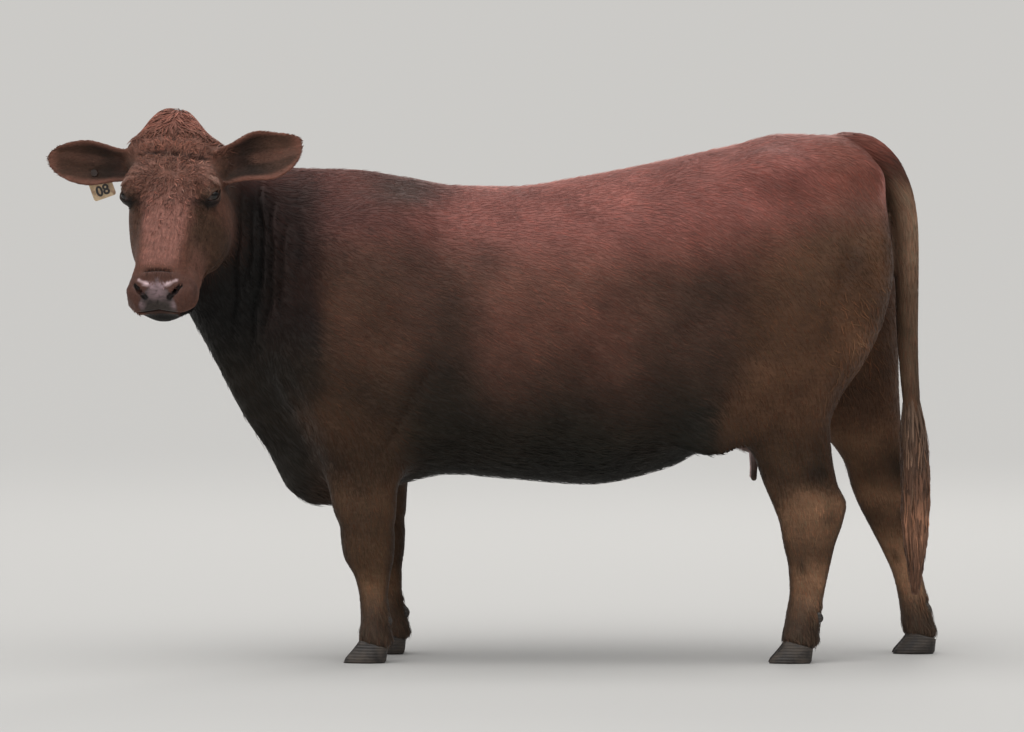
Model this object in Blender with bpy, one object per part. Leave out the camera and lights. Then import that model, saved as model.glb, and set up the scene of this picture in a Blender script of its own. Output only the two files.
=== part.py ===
"""Cow: a life-size still model of a polled red beef cow, standing with her head turned left.

Frame: metres, +Z up, the floor at Z = 0 under her hooves. Her body lies along X with the
head toward -X and her left side toward -Y. The origin is below the middle of her box.

Her flesh is one closed surface, the zero level of the field in `flesh`. The field is built
from lofted ovals (trunk and neck, head, legs) and ellipsoids that flow into one another.
The surface is drawn on a lattice, thinned to a few thousand triangles, and parted into
named pieces by cuts 0.6 mm wide. Ears, eyes, tail, hooves, dewclaws, teats and the ear tag
are solids of their own that meet the flesh with the same gap.
"""

import math

import bmesh
import bpy
import numpy as np
from mathutils import Matrix, Vector

GAP = 0.0003  # half the width of every cut, and the gap round every inset piece
SLIVER = 0.0001  # edges shorter than this, left by a cut, are closed up
LATTICE = 0.014  # spacing of the lattice the flesh is drawn on
HEAD_LATTICE = 0.0085  # and its spacing around the head
FLESH_TRIANGLES = 2860  # what the thinned flesh keeps before it is parted

# ---------------------------------------------------------------- driving dimensions

NECK_BEND_X = -0.42  # where the body's axis leaves the X axis and curves to her left
NECK_BEND_RADIUS = 0.42

# Stations of the trunk and neck along the body's axis. u is the distance ahead of the
# origin. Each line: u, top, bottom, half width, height of the widest point, roundness of
# the upper half, roundness of the lower half (2 is an ellipse, less is keener).
TRUNK = np.array([
    (-0.985, 1.215, 1.000, 0.060, 1.120, 2.2, 2.0),
    (-0.950, 1.300, 0.860, 0.130, 1.120, 2.3, 2.0),
    (-0.880, 1.342, 0.720, 0.190, 1.120, 2.3, 2.0),
    (-0.740, 1.347, 0.600, 0.248, 1.090, 2.1, 2.0),
    (-0.610, 1.318, 0.575, 0.286, 1.020, 2.15, 2.1),
    (-0.530, 1.300, 0.532, 0.300, 0.980, 2.3, 2.1),
    (-0.440, 1.280, 0.486, 0.318, 0.930, 2.2, 2.2),
    (-0.240, 1.241, 0.446, 0.345, 0.850, 2.1, 2.3),
    (-0.040, 1.213, 0.460, 0.348, 0.830, 2.0, 2.3),
    (0.110, 1.217, 0.471, 0.322, 0.850, 1.9, 2.2),
    (0.240, 1.238, 0.445, 0.285, 0.880, 1.8, 2.1),
    (0.360, 1.255, 0.396, 0.245, 0.900, 1.8, 1.9),
    (0.450, 1.257, 0.389, 0.215, 0.920, 1.8, 1.7),
    (0.520, 1.260, 0.422, 0.184, 0.940, 1.8, 1.7),
    (0.575, 1.266, 0.520, 0.158, 0.960, 1.8, 1.7),
    (0.640, 1.280, 0.612, 0.140, 1.000, 1.8, 1.7),
    (0.720, 1.310, 0.752, 0.126, 1.060, 1.9, 1.7),
    (0.800, 1.335, 0.880, 0.114, 1.120, 2.0, 1.9),
])
TRUNK_ENDS = (-0.995, 0.830)

# Legs, measured at heights down the leg. Each line: z, front x, rear x, inner and outer
# distance from the middle plane.
LEFT_HIND = np.array([
    (1.230, 0.760, 0.935, 0.050, 0.130),
    (1.130, 0.680, 1.003, 0.025, 0.215),
    (1.000, 0.610, 1.019, 0.012, 0.268),
    (0.880, 0.575, 0.996, 0.012, 0.285),
    (0.760, 0.562, 0.940, 0.022, 0.278),
    (0.670, 0.578, 0.880, 0.045, 0.258),
    (0.600, 0.615, 0.858, 0.070, 0.238),
    (0.530, 0.655, 0.862, 0.092, 0.222),
    (0.460, 0.680, 0.874, 0.108, 0.213),
    (0.400, 0.706, 0.895, 0.116, 0.211),
    (0.355, 0.723, 0.888, 0.119, 0.209),
    (0.300, 0.733, 0.869, 0.124, 0.205),
    (0.240, 0.746, 0.855, 0.129, 0.202),
    (0.180, 0.749, 0.842, 0.129, 0.202),
    (0.130, 0.741, 0.834, 0.120, 0.211),
    (0.085, 0.733, 0.829, 0.119, 0.212),
    (0.040, 0.720, 0.828, 0.117, 0.214),
])
RIGHT_HIND = np.array([
    (1.230, 0.770, 0.935, 0.050, 0.130),
    (1.130, 0.690, 1.018, 0.025, 0.215),
    (1.000, 0.620, 1.038, 0.014, 0.268),
    (0.880, 0.600, 1.046, 0.016, 0.285),
    (0.760, 0.630, 1.048, 0.030, 0.278),
    (0.680, 0.700, 1.050, 0.050, 0.258),
    (0.610, 0.785, 1.054, 0.072, 0.238),
    (0.550, 0.862, 1.060, 0.090, 0.224),
    (0.490, 0.903, 1.076, 0.102, 0.215),
    (0.435, 0.919, 1.091, 0.112, 0.212),
    (0.390, 0.937, 1.092, 0.117, 0.210),
    (0.330, 0.968, 1.084, 0.123, 0.206),
    (0.265, 1.002, 1.095, 0.129, 0.202),
    (0.200, 1.030, 1.110, 0.130, 0.201),
    (0.140, 1.044, 1.124, 0.121, 0.210),
    (0.090, 1.050, 1.138, 0.119, 0.212),
    (0.040, 1.052, 1.150, 0.117, 0.214),
])
LEFT_FORE = np.array([
    (0.760, -0.490, -0.210, 0.060, 0.235),
    (0.660, -0.490, -0.215, 0.065, 0.238),
    (0.560, -0.466, -0.232, 0.078, 0.228),
    (0.470, -0.431, -0.240, 0.092, 0.216),
    (0.400, -0.411, -0.245, 0.094, 0.214),
    (0.340, -0.396, -0.248, 0.092, 0.214),
    (0.270, -0.384, -0.252, 0.099, 0.207),
    (0.215, -0.355, -0.262, 0.113, 0.193),
    (0.165, -0.344, -0.268, 0.115, 0.191),
    (0.115, -0.341, -0.262, 0.106, 0.200),
    (0.080, -0.344, -0.258, 0.104, 0.202),
    (0.040, -0.352, -0.254, 0.101, 0.205),
])
RIGHT_FORE_LEAN = ((0.76, 0.020), (0.26, 0.022), (0.16, 0.032), (0.04, 0.042))
LEG_ROUNDNESS = 2.25

# The head, in its own frame: a runs from the eyes to the muzzle, s to her left, b out of
# the forehead. Each line: a, top, bottom, half width, b of the widest point.
HEAD_CENTRE = (-0.802, -0.345, 1.180)
HEAD_YAW = math.radians(12.5)  # off the camera side, toward where her body points
HEAD_PITCH = math.radians(56.0)  # of the face below level
HEAD = np.array([
    (-0.268, 0.018, -0.045, 0.034, -0.015),
    (-0.246, 0.042, -0.090, 0.054, -0.010),
    (-0.202, 0.060, -0.130, 0.084, -0.005),
    (-0.150, 0.069, -0.165, 0.110, 0.000),
    (-0.090, 0.071, -0.190, 0.119, 0.000),
    (-0.030, 0.068, -0.205, 0.120, -0.005),
    (0.030, 0.062, -0.205, 0.116, -0.035),
    (0.090, 0.054, -0.188, 0.103, -0.050),
    (0.150, 0.046, -0.160, 0.093, -0.050),
    (0.205, 0.038, -0.134, 0.086, -0.048),
    (0.250, 0.028, -0.118, 0.085, -0.046),
    (0.284, 0.010, -0.106, 0.081, -0.046),
    (0.304, -0.014, -0.094, 0.064, -0.050),
])
HEAD_ENDS = (-0.277, 0.308)
HEAD_ROUNDNESS = 2.4

# Ellipsoids that fill the head out, in its frame, the left one of each pair:
# centre, radii and how widely each blends in.
HEAD_LUMPS = (
    ((-0.018, 0.098, 0.044), (0.046, 0.030, 0.026), 0.030),  # brow
    ((0.025, 0.086, -0.105), (0.105, 0.036, 0.080), 0.045),  # cheek
    ((0.268, 0.045, -0.036), (0.042, 0.038, 0.042), 0.025),  # lip
    ((0.244, 0.000, -0.094), (0.046, 0.050, 0.032), 0.025),  # chin
    ((-0.128, 0.098, -0.008), (0.045, 0.037, 0.034), 0.032),  # between the poll and the ear
)
POLL_LEAN, POLL_LEAN_START = 0.035, -0.020  # how far the poll's top is carried to her right

# The same for the body: centre, radii, lean toward +X at the top, blend; the left of a pair.
BODY_LUMPS = (
    ((-0.300, -0.165, 0.880), (0.175, 0.110, 0.290), 0.20, 0.090),  # shoulder blade
    ((-0.455, -0.150, 0.770), (0.110, 0.090, 0.130), 0.00, 0.080),  # point of the shoulder
    ((0.700, -0.180, 1.240), (0.085, 0.055, 0.050), 0.00, 0.070),  # hook bone
    ((0.930, -0.085, 1.215), (0.070, 0.050, 0.075), 0.00, 0.060),  # pin bone
    ((0.975, 0.000, 1.020), (0.048, 0.060, 0.150), 0.00, 0.040),  # below the tail's root
)
FLANK_FOLD = ((0.560, -0.205, 0.640), (0.130, 0.040, 0.110), -0.50, 0.070)
UDDER = ((0.700, 0.0, 0.600), (0.120, 0.110, 0.082), 0.00, 0.050)
HIND_BLEND, FORE_BLEND, HEAD_BLEND = 0.060, 0.070, 0.045

EYE_RADIUS = 0.0215
EYE_PLACE = (0.014, 0.106, 0.034)  # in the head's frame, on her left; mirrored for the right

EAR_ROOT = (-0.100, 0.112, -0.004)  # in the head's frame
EAR_LENGTH = 0.262
EAR_SINK = 0.028  # how far its root goes into the head
EAR_THICKNESS = 0.010
# along the ear from its root: the radius of its cup, and half the angle the cup goes round
EAR_CUP = ((0, 0.034), (0.25, 0.050), (0.6, 0.070), (1, 0.052))
EAR_REACH = ((0, 2.2), (0.15, 1.45), (0.4, 1.05), (0.65, 0.92), (0.80, 0.78), (0.92, 0.54), (1, 0.16))
EAR_RINGS = (0.0, 0.12, 0.25, 0.40, 0.55, 0.70, 0.82, 0.92, 1.0)
# how each ear is held: swept back, drooping, and how broad it is seen
EARS = {
    -1: (math.radians(-2.0), math.radians(-4.0), 1.00),
    1: (math.radians(38.0), math.radians(-15.0), 1.22),
}

TAIL = np.array([  # x, y, z and radius down the tail
    (0.900, 0.000, 1.310, 0.036),
    (0.942, 0.000, 1.305, 0.038),
    (0.985, 0.000, 1.278, 0.038),
    (1.020, 0.000, 1.230, 0.036),
    (1.043, 0.000, 1.168, 0.034),
    (1.054, 0.000, 1.090, 0.0320),
    (1.057, 0.000, 0.980, 0.0300),
    (1.058, 0.000, 0.860, 0.0275),
    (1.063, 0.000, 0.740, 0.0240),
    (1.070, 0.000, 0.650, 0.0215),
])
SWITCH = np.array([  # the tassel of long hair below it
    (1.072, 0.000, 0.648, 0.0215),
    (1.074, 0.000, 0.600, 0.0260),
    (1.078, -0.004, 0.520, 0.0360),
    (1.082, -0.006, 0.440, 0.0400),
    (1.082, -0.006, 0.360, 0.0360),
    (1.080, -0.004, 0.280, 0.0300),
    (1.080, -0.002, 0.210, 0.0200),
    (1.082, 0.000, 0.160, 0.0090),
])

HOOF_HEIGHT = 0.066  # at the toe
HEEL_HEIGHT = 0.034
CLAW_LENGTH = 0.112  # of the sole
CLAW_WIDTH = 0.047
CLAW_SPLAY = 0.0265  # of each claw's middle off the leg's
CLAW_RAKE = (0.046, 0.004)  # how far back the toe and the heel lean up to the coronet
CLAW_LEVELS = ((0.0, 1.0), (0.3, 1.02), (1.0, 0.86))  # share of height, share of width
DEWCLAW_RADII = (0.012, 0.0090, 0.017)
DEWCLAW_SPLAY, DEWCLAW_LEAN = 0.022, math.radians(24.0)

# toe x, middle y and side of each foot
FEET = {
    "fore_left": (-0.386, 0.153, -1),
    "fore_right": (-0.344, 0.153, 1),
    "hind_left": (0.694, 0.1655, -1),
    "hind_right": (1.026, 0.1655, 1),
}

# rear x and height of the dewclaws of each foot
DEWCLAW = {
    "fore_left": (-0.272, 0.108),
    "fore_right": (-0.232, 0.108),
    "hind_left": (0.823, 0.118),
    "hind_right": (1.118, 0.116),
}

# Where the flesh is parted. The head comes off behind its cheeks, the front at a line that
# leans, the rest at planes across X or level ones across Z.
HEAD_CUT, HEAD_CUT_TURN = (-0.752, -0.196, 1.10), math.radians(-31.0)
HEAD_CUT_BOX = ((-0.40, -0.60, -0.30), (0.30, 0.0, 0.40))
JAW_DEPTH, JAW_LEAN, JAW_START = -0.128, math.radians(-6.5), -0.02
MUZZLE_START = 0.205
SHOULDER_LINE, SHOULDER_LEAN = (-0.400, 1.250), math.radians(7.0)
BRISKET_TOP = 0.720
SHOULDERS_END, BARREL_END = -0.100, 0.500
UDDER_BOX = ((0.50, -0.30, 0.30), (0.86, 0.30, 0.560))
LIMB_CUTS = {  # x range, inner side, top, and the two cuts below it
    "fore": ((-0.65, -0.16), 0.080, 0.500, (0.262, 0.138), "forearm"),
    "hind": ((0.565, 1.25), 0.078, 0.610, (0.335, 0.150), "gaskin"),
}

TEAT_TOP = 0.548
TEAT_END = 0.455
TEATS = {"front": (0.668, 0.052), "rear": (0.742, 0.046)}

TAG_ALONG_EAR = 0.116  # of the stud from the ear's root
TAG_BELOW_EAR = 0.026  # of the stud below the ear's middle line
TAG_LEAN = math.radians(19.0)
TAG_HALF_WIDTH, TAG_FOOT, TAG_CORNER = 0.0300, -0.0700, 0.006  # y of its foot below the stud
TAG_SHOULDER_Y, TAG_NECK, TAG_TOP_RADIUS = -0.024, (0.012, -0.012), 0.011
TAG_THICKNESS = 0.002
STUD_RADII = (0.009, 0.0035, 0.010)  # rear cap, pin, button
STUD_DEPTHS = (-0.0370, -0.0338, -0.0140, -0.0110)  # rear cap, pin and button, out of the ear

COAT = (0.155, 0.042, 0.021)
COAT_DARK = (0.090, 0.026, 0.015)
HORN = (0.040, 0.030, 0.026)
MUZZLE_SKIN = (0.420, 0.230, 0.200)
TEAT_SKIN = (0.480, 0.270, 0.225)
EYE_DARK = (0.012, 0.008, 0.007)
TAG_PLASTIC = (0.800, 0.560, 0.250)
SWITCH_HAIR = (0.250, 0.085, 0.036)


# ---------------------------------------------------------------- curves and fields


def curve(knots, values):
    """Return a smooth function through `values` at rising `knots` that never overshoots."""
    knots, values = np.asarray(knots, float), np.asarray(values, float)
    run = np.diff(knots)
    rise = np.diff(values) / run
    slope = np.concatenate([rise[:1], np.zeros(len(rise) - 1), rise[-1:]])
    agree = rise[:-1] * rise[1:] > 0
    product, total = rise[:-1] * rise[1:], rise[:-1] + rise[1:]
    slope[1:-1][agree] = 2 * product[agree] / total[agree]
    fine = np.linspace(knots[0], knots[-1], 400)
    i = np.clip(np.searchsorted(knots, fine, side="right") - 1, 0, len(run) - 1)
    t = (fine - knots[i]) / run[i]
    table = (
        values[i] * (1 + 2 * t) * (1 - t) ** 2
        + values[i + 1] * t**2 * (3 - 2 * t)
        + slope[i] * run[i] * t * (1 - t) ** 2
        - slope[i + 1] * run[i] * t**2 * (1 - t)
    )
    return lambda at: np.interp(at, fine, table)


def curves(stations):
    """Return one smooth function for each column after the first, of the first column."""
    order = np.argsort(stations[:, 0])
    rows = stations[order]
    return [curve(rows[:, 0], rows[:, i]) for i in range(1, rows.shape[1])]


def joined(a, b, blend):
    """Join two solids, with a fillet about `blend` wide where they meet."""
    share = np.clip(0.5 + 0.5 * (b - a) / blend, 0.0, 1.0)
    return b + (a - b) * share - blend * share * (1 - share)


def shared(a, b, blend):
    """Keep what two solids share, with a rounded edge."""
    return -joined(-a, -b, blend)


def oval(across, up, half_width, half_height, roundness):
    """Distance to the oval |across/w|^n + |up/h|^n = 1, true near its rim, less inside."""
    a, b = np.abs(across) / half_width, np.abs(up) / half_height
    level = np.maximum((a**roundness + b**roundness) ** (1 / roundness), 1e-6)
    inner = roundness - 1
    slope = np.hypot(a**inner / half_width, b**inner / half_height) / level**inner
    return (level - 1) / np.maximum(slope, 1e-6)


def ellipsoid(p, centre, radii, lean=0.0):
    """Distance to an ellipsoid; `lean` turns it about Y, its top toward +X."""
    q = p - np.asarray(centre)
    if lean:
        c, s = math.cos(lean), math.sin(lean)
        q = np.stack([c * q[:, 0] - s * q[:, 2], q[:, 1], s * q[:, 0] + c * q[:, 2]], 1)
    q = q / np.asarray(radii)
    level = np.maximum(np.linalg.norm(q, axis=1), 1e-6)
    slope = np.linalg.norm(q / np.asarray(radii), axis=1) / level
    return (level - 1) / np.maximum(slope, 1e-6)


def mirrored(p):
    """Fold her right side onto her left, for what is alike on both."""
    return np.stack([p[:, 0], -np.abs(p[:, 1]), p[:, 2]], 1)


# ---------------------------------------------------------------- the flesh


def along_body(p):
    """Return u, along the body's curved axis toward the head, and the distance off it."""
    ahead = NECK_BEND_X - p[:, 0]
    turned = np.arctan2(ahead, p[:, 1] + NECK_BEND_RADIUS)
    bent = ahead > 0
    u = np.where(bent, NECK_BEND_RADIUS * turned - NECK_BEND_X, -p[:, 0])
    off = np.hypot(ahead, p[:, 1] + NECK_BEND_RADIUS) - NECK_BEND_RADIUS
    return u, np.where(bent, off, p[:, 1])


TRUNK_CURVES = curves(TRUNK)


def trunk_field(p):
    """Barrel, rump, chest and neck: ovals lofted along the body's axis."""
    u, off = along_body(p)
    top, bottom, half_width, widest, upper, lower = (f(u) for f in TRUNK_CURVES)
    up = p[:, 2] - widest
    half_height = np.where(up > 0, top - widest, widest - bottom)
    side = oval(off, up, half_width, half_height, np.where(up > 0, upper, lower))
    return shared(side, np.maximum(u - TRUNK_ENDS[1], TRUNK_ENDS[0] - u), 0.05)


def leg_field(p, stations, side):
    """One leg: ovals lofted down its height; side is -1 on her left, 1 on her right."""
    front, rear, inner, outer = (f(p[:, 2]) for f in curves(stations))
    x = p[:, 0] - (front + rear) / 2
    y = p[:, 1] * side - (inner + outer) / 2
    wall = oval(x, y, (rear - front) / 2, (outer - inner) / 2, LEG_ROUNDNESS)
    ends = np.maximum(p[:, 2] - stations[0, 0], 0.02 - p[:, 2])
    return shared(wall, ends, 0.03)


def right_fore():
    """The right fore leg: the left one's sections, set a little further back."""
    lean = curves(np.array(RIGHT_FORE_LEAN))[0]
    stations = LEFT_FORE.copy()
    stations[:, 1:3] += lean(LEFT_FORE[:, 0])[:, None]
    return stations


def head_axes():
    """Return the head's unit vectors: along the face, to her left, out of the forehead."""
    level = np.array([-math.sin(HEAD_YAW), -math.cos(HEAD_YAW), 0.0])
    up = np.array([0.0, 0.0, 1.0])
    along = math.cos(HEAD_PITCH) * level - math.sin(HEAD_PITCH) * up
    out = math.sin(HEAD_PITCH) * level + math.cos(HEAD_PITCH) * up
    return np.stack([along, np.cross(out, along), out])


HEAD_AXES = head_axes()
HEAD_CURVES = curves(HEAD)


def from_head(place):
    """Turn a place in the head's frame into the world's."""
    return np.asarray(HEAD_CENTRE) + np.asarray(place) @ HEAD_AXES


def head_field(p):
    """Skull, cheeks, jaw and muzzle."""
    q = (p - np.asarray(HEAD_CENTRE)) @ HEAD_AXES.T
    rise = np.clip((POLL_LEAN_START - q[:, 0]) / (POLL_LEAN_START - HEAD_ENDS[0]), 0.0, 1.0)
    q[:, 1] += POLL_LEAN * rise * rise * (3 - 2 * rise)
    top, bottom, half_width, widest = (f(q[:, 0]) for f in HEAD_CURVES)
    up = q[:, 2] - widest
    half_height = np.where(up > 0, top - widest, widest - bottom)
    side = oval(q[:, 1], up, half_width, half_height, HEAD_ROUNDNESS)
    solid = shared(side, np.maximum(q[:, 0] - HEAD_ENDS[1], HEAD_ENDS[0] - q[:, 0]), 0.03)
    q[:, 1] = np.abs(q[:, 1])
    for centre, radii, blend in HEAD_LUMPS:
        solid = joined(solid, ellipsoid(q, centre, radii), blend)
    return solid


def flesh(p):
    """Signed field of all her flesh but ears and tail: negative inside."""
    body = trunk_field(p)
    both = mirrored(p)
    for centre, radii, lean, blend in BODY_LUMPS:
        body = joined(body, ellipsoid(both, centre, radii, lean), blend)
    for stations, side, blend in (
        (LEFT_HIND, -1, HIND_BLEND),
        (RIGHT_HIND, 1, HIND_BLEND),
        (LEFT_FORE, -1, FORE_BLEND),
        (right_fore(), 1, FORE_BLEND),
    ):
        body = joined(body, leg_field(p, stations, side), blend)
    for centre, radii, lean, blend in (FLANK_FOLD, UDDER):
        body = joined(body, ellipsoid(both, centre, radii, lean), blend)
    return joined(body, head_field(p), HEAD_BLEND)


# ---------------------------------------------------------------- meshing


def spaced(bounds, fine_bounds, coarse, fine):
    """Positions from bounds[0] to bounds[1], closer together inside fine_bounds."""
    places = [bounds[0]]
    while places[-1] < bounds[1]:
        near = fine_bounds[0] <= places[-1] <= fine_bounds[1]
        places.append(places[-1] + (fine if near else coarse))
    return np.array(places)


def corner_values(field, xs, ys, zs):
    """Sample the field on the lattice, one slab of x at a time."""
    values = np.empty((len(xs), len(ys), len(zs)))
    for i, x in enumerate(xs):
        grid = np.stack(np.meshgrid([x], ys, zs, indexing="ij"), -1).reshape(-1, 3)
        values[i] = field(grid).reshape(len(ys), len(zs))
    return values


def settle(field, points, rounds=4):
    """Move points along the field's slope until they lie on its zero level."""
    step = 0.001
    for _ in range(rounds):
        value = field(points)
        slope = np.stack(
            [
                (field(points + step * axis) - field(points - step * axis)) / (2 * step)
                for axis in np.eye(3)
            ],
            1,
        )
        size = np.maximum((slope**2).sum(1), 0.05)
        move = np.clip(value / size, -0.01, 0.01)
        points = points - move[:, None] * slope
    return points


def surface_nets(field, xs, ys, zs):
    """Return the points and quads of the field's zero level, one point a crossed cell."""
    values = corner_values(field, xs, ys, zs)
    lines = (xs, ys, zs)
    cells = tuple(n - 1 for n in values.shape)
    total, count = np.zeros(cells + (3,)), np.zeros(cells)
    steps = [(a, b) for a in (0, 1) for b in (0, 1)]
    for axis in range(3):
        first, second = np.moveaxis(values, axis, 0)[:-1], np.moveaxis(values, axis, 0)[1:]
        crossed = (first < 0) != (second < 0)
        share = np.where(crossed, first / np.where(crossed, first - second, 1), 0)
        others = [i for i in range(3) if i != axis]
        start = lines[axis][:-1].reshape(-1, 1, 1)
        run = np.diff(lines[axis]).reshape(-1, 1, 1)
        place = np.empty(share.shape + (3,))
        place[..., axis] = start + share * run
        place[..., others[0]] = lines[others[0]].reshape(1, -1, 1)
        place[..., others[1]] = lines[others[1]].reshape(1, 1, -1)
        place *= crossed[..., None]
        for a, b in steps:
            rows = slice(a, a + cells[others[0]])
            columns = slice(b, b + cells[others[1]])
            total += np.moveaxis(place[:, rows, columns], 0, axis)
            count += np.moveaxis(crossed[:, rows, columns], 0, axis)
    used = count > 0
    number = np.full(cells, -1)
    number[used] = np.arange(used.sum())
    points = total[used] / count[used][:, None]
    quads = []
    for axis in range(3):
        inside = values < 0
        first = np.moveaxis(inside, axis, 0)[:-1]
        second = np.moveaxis(inside, axis, 0)[1:]
        names = np.moveaxis(number, axis, 0)
        i, j, k = np.nonzero((first != second)[:, 1:-1, 1:-1])
        around = [names[i, j, k], names[i, j + 1, k], names[i, j + 1, k + 1], names[i, j, k + 1]]
        quad = np.stack(around, 1)
        outward = first[:, 1:-1, 1:-1][i, j, k] ^ (axis == 1)
        quad[~outward] = quad[~outward][:, ::-1]
        quads.append(quad)
    return points, np.concatenate(quads)


def mesh_of(name, points, faces):
    """Make a mesh from points and faces."""
    mesh = bpy.data.meshes.new(name)
    mesh.from_pydata([tuple(p) for p in points], [], [tuple(f) for f in faces])
    mesh.update()
    return mesh


def placed(name, mesh):
    """Add an object to the scene for a mesh whose points are world coordinates."""
    thing = bpy.data.objects.new(name, mesh)
    bpy.context.scene.collection.objects.link(thing)
    return thing


def evaluated(thing):
    """Return the mesh of an object after its modifiers."""
    graph = bpy.context.evaluated_depsgraph_get()
    return bpy.data.meshes.new_from_object(thing.evaluated_get(graph))


def thinned_flesh():
    """Draw the flesh's surface and thin it to FLESH_TRIANGLES."""
    xs = spaced((-1.02, 1.20), (-1.0, -0.64), LATTICE, HEAD_LATTICE)
    ys = spaced((-0.66, 0.38), (-0.66, -0.16), LATTICE, HEAD_LATTICE)
    zs = spaced((-0.02, 1.44), (0.86, 1.42), LATTICE, HEAD_LATTICE)
    points, quads = surface_nets(flesh, xs, ys, zs)
    points = settle(flesh, points)
    whole = placed("flesh", mesh_of("flesh", points, quads))
    thin = whole.modifiers.new("thin", "DECIMATE")
    thin.ratio = FLESH_TRIANGLES / (2 * len(quads))
    mesh = evaluated(whole)
    bpy.data.objects.remove(whole)
    return mesh


# ---------------------------------------------------------------- cutting


def box_mesh(frame, low, high):
    """A box from low to high in a frame given as a 4x4 matrix."""
    corners = [
        (x, y, z) for x in (low[0], high[0]) for y in (low[1], high[1]) for z in (low[2], high[2])
    ]
    faces = [(0, 1, 3, 2), (4, 6, 7, 5), (0, 4, 5, 1), (2, 3, 7, 6), (0, 2, 6, 4), (1, 5, 7, 3)]
    points = [frame @ Vector(c) for c in corners]
    return mesh_of("cutter", points, faces)


def boolean(mesh, cutter, operation):
    """Return `mesh` after a Boolean with `cutter`."""
    thing, tool = placed("cut", mesh), placed("cutter", cutter)
    tool.hide_render = True
    tool.display_type = "WIRE"
    cut = thing.modifiers.new("cut", "BOOLEAN")
    cut.operation = operation
    cut.object = tool
    result = evaluated(thing)
    bpy.data.objects.remove(thing)
    bpy.data.objects.remove(tool)
    return result


def largest_body(mesh):
    """Keep the biggest closed body of a mesh, and drop what a cut leaves loose or folded."""
    bm = bmesh.new()
    bm.from_mesh(mesh)
    bmesh.ops.dissolve_degenerate(bm, dist=SLIVER, edges=bm.edges)
    bm.verts.index_update()
    bmesh.ops.triangulate(bm, faces=bm.faces)
    by_corners = {}
    for face in bm.faces:
        by_corners.setdefault(frozenset(v.index for v in face.verts), []).append(face)
    folded = [face for faces in by_corners.values() if len(faces) > 1 for face in faces]
    bmesh.ops.delete(bm, geom=folded, context="FACES")
    left = set(bm.verts)
    bodies = []
    while left:
        body, edge = set(), [left.pop()]
        while edge:
            vertex = edge.pop()
            body.add(vertex)
            around = {e.other_vert(vertex) for e in vertex.link_edges} & left
            left -= around
            edge.extend(around)
        bodies.append(body)
    bodies.sort(key=len)
    loose = [v for body in bodies[:-1] for v in body]
    bmesh.ops.delete(bm, geom=loose, context="VERTS")
    bm.to_mesh(mesh)
    bm.free()
    return mesh


def parted(mesh, frame, low, high):
    """Part a mesh by a box: return what is inside it and what is outside, GAP off each."""
    grown = Vector((GAP, GAP, GAP))
    low, high = Vector(low), Vector(high)
    inside = boolean(mesh.copy(), box_mesh(frame, low + grown, high - grown), "INTERSECT")
    outside = boolean(mesh, box_mesh(frame, low - grown, high + grown), "DIFFERENCE")
    return largest_body(inside), largest_body(outside)


def upright(x, z, lean):
    """A frame at (x, 0, z) whose x axis is turned by `lean` about Y."""
    return Matrix.Translation((x, 0, z)) @ Matrix.Rotation(lean, 4, "Y")


def head_frame():
    """The head's frame as a matrix: its x, y and z are a, s and b."""
    turn = Matrix(HEAD_AXES.tolist()).transposed().to_4x4()
    return Matrix.Translation(HEAD_CENTRE) @ turn


def part_limb(mesh, world, leg, side):
    """Part one leg off: return its three pieces from the top down, and the rest."""
    along, inner, top, cuts, _ = LIMB_CUTS[leg]
    low_y, high_y = sorted((side * inner, side * 0.5))
    limb, rest = parted(mesh, world, (along[0], low_y, -0.1), (along[1], high_y, top))
    lower, upper = parted(limb, world, (-2, -1, -1), (2, 1, cuts[0]))
    foot, cannon = parted(lower, world, (-2, -1, -1), (2, 1, cuts[1]))
    return (upper, cannon, foot), rest


def part_flesh(mesh):
    """Part the flesh into its named pieces."""
    pieces = {}
    world = Matrix.Identity(4)
    behind_head = Matrix.Translation(HEAD_CUT) @ Matrix.Rotation(HEAD_CUT_TURN, 4, "Z")
    head, mesh = parted(mesh, behind_head, *HEAD_CUT_BOX)
    jaw_frame = head_frame() @ Matrix.Translation((0.0, 0.0, JAW_DEPTH))
    jaw_frame = jaw_frame @ Matrix.Rotation(JAW_LEAN, 4, "Y")
    pieces["lower_jaw"], head = parted(head, jaw_frame, (JAW_START, -0.3, -0.3), (0.5, 0.3, 0))
    muzzle = ((MUZZLE_START, -0.3, -0.3), (0.5, 0.3, 0.3))
    pieces["muzzle"], pieces["head"] = parted(head, head_frame(), *muzzle)

    shoulder_line = upright(*SHOULDER_LINE, SHOULDER_LEAN)
    front, mesh = parted(mesh, shoulder_line, (-0.8, -0.7, -1.2), (0.0, 0.6, 0.4))
    pieces["brisket"], pieces["neck"] = parted(front, world, (-1, -1, 0), (0, 1, BRISKET_TOP))

    for side, name in ((-1, "left"), (1, "right")):
        for leg in LIMB_CUTS:
            limb, mesh = part_limb(mesh, world, leg, side)
            names = (LIMB_CUTS[leg][4], f"{leg}_cannon", f"{leg}_pastern")
            for piece, kind in zip(limb, names):
                pieces[f"{kind}_{name}"] = piece
    pieces["udder"], mesh = parted(mesh, world, *UDDER_BOX)
    pieces["shoulders"], mesh = parted(mesh, world, (-1, -1, 0), (SHOULDERS_END, 1, 2))
    rear = ((BARREL_END, -1, 0), (2, 1, 2))
    pieces["hindquarters"], pieces["barrel"] = parted(mesh, world, *rear)
    return pieces


# ---------------------------------------------------------------- set-in pieces


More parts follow.
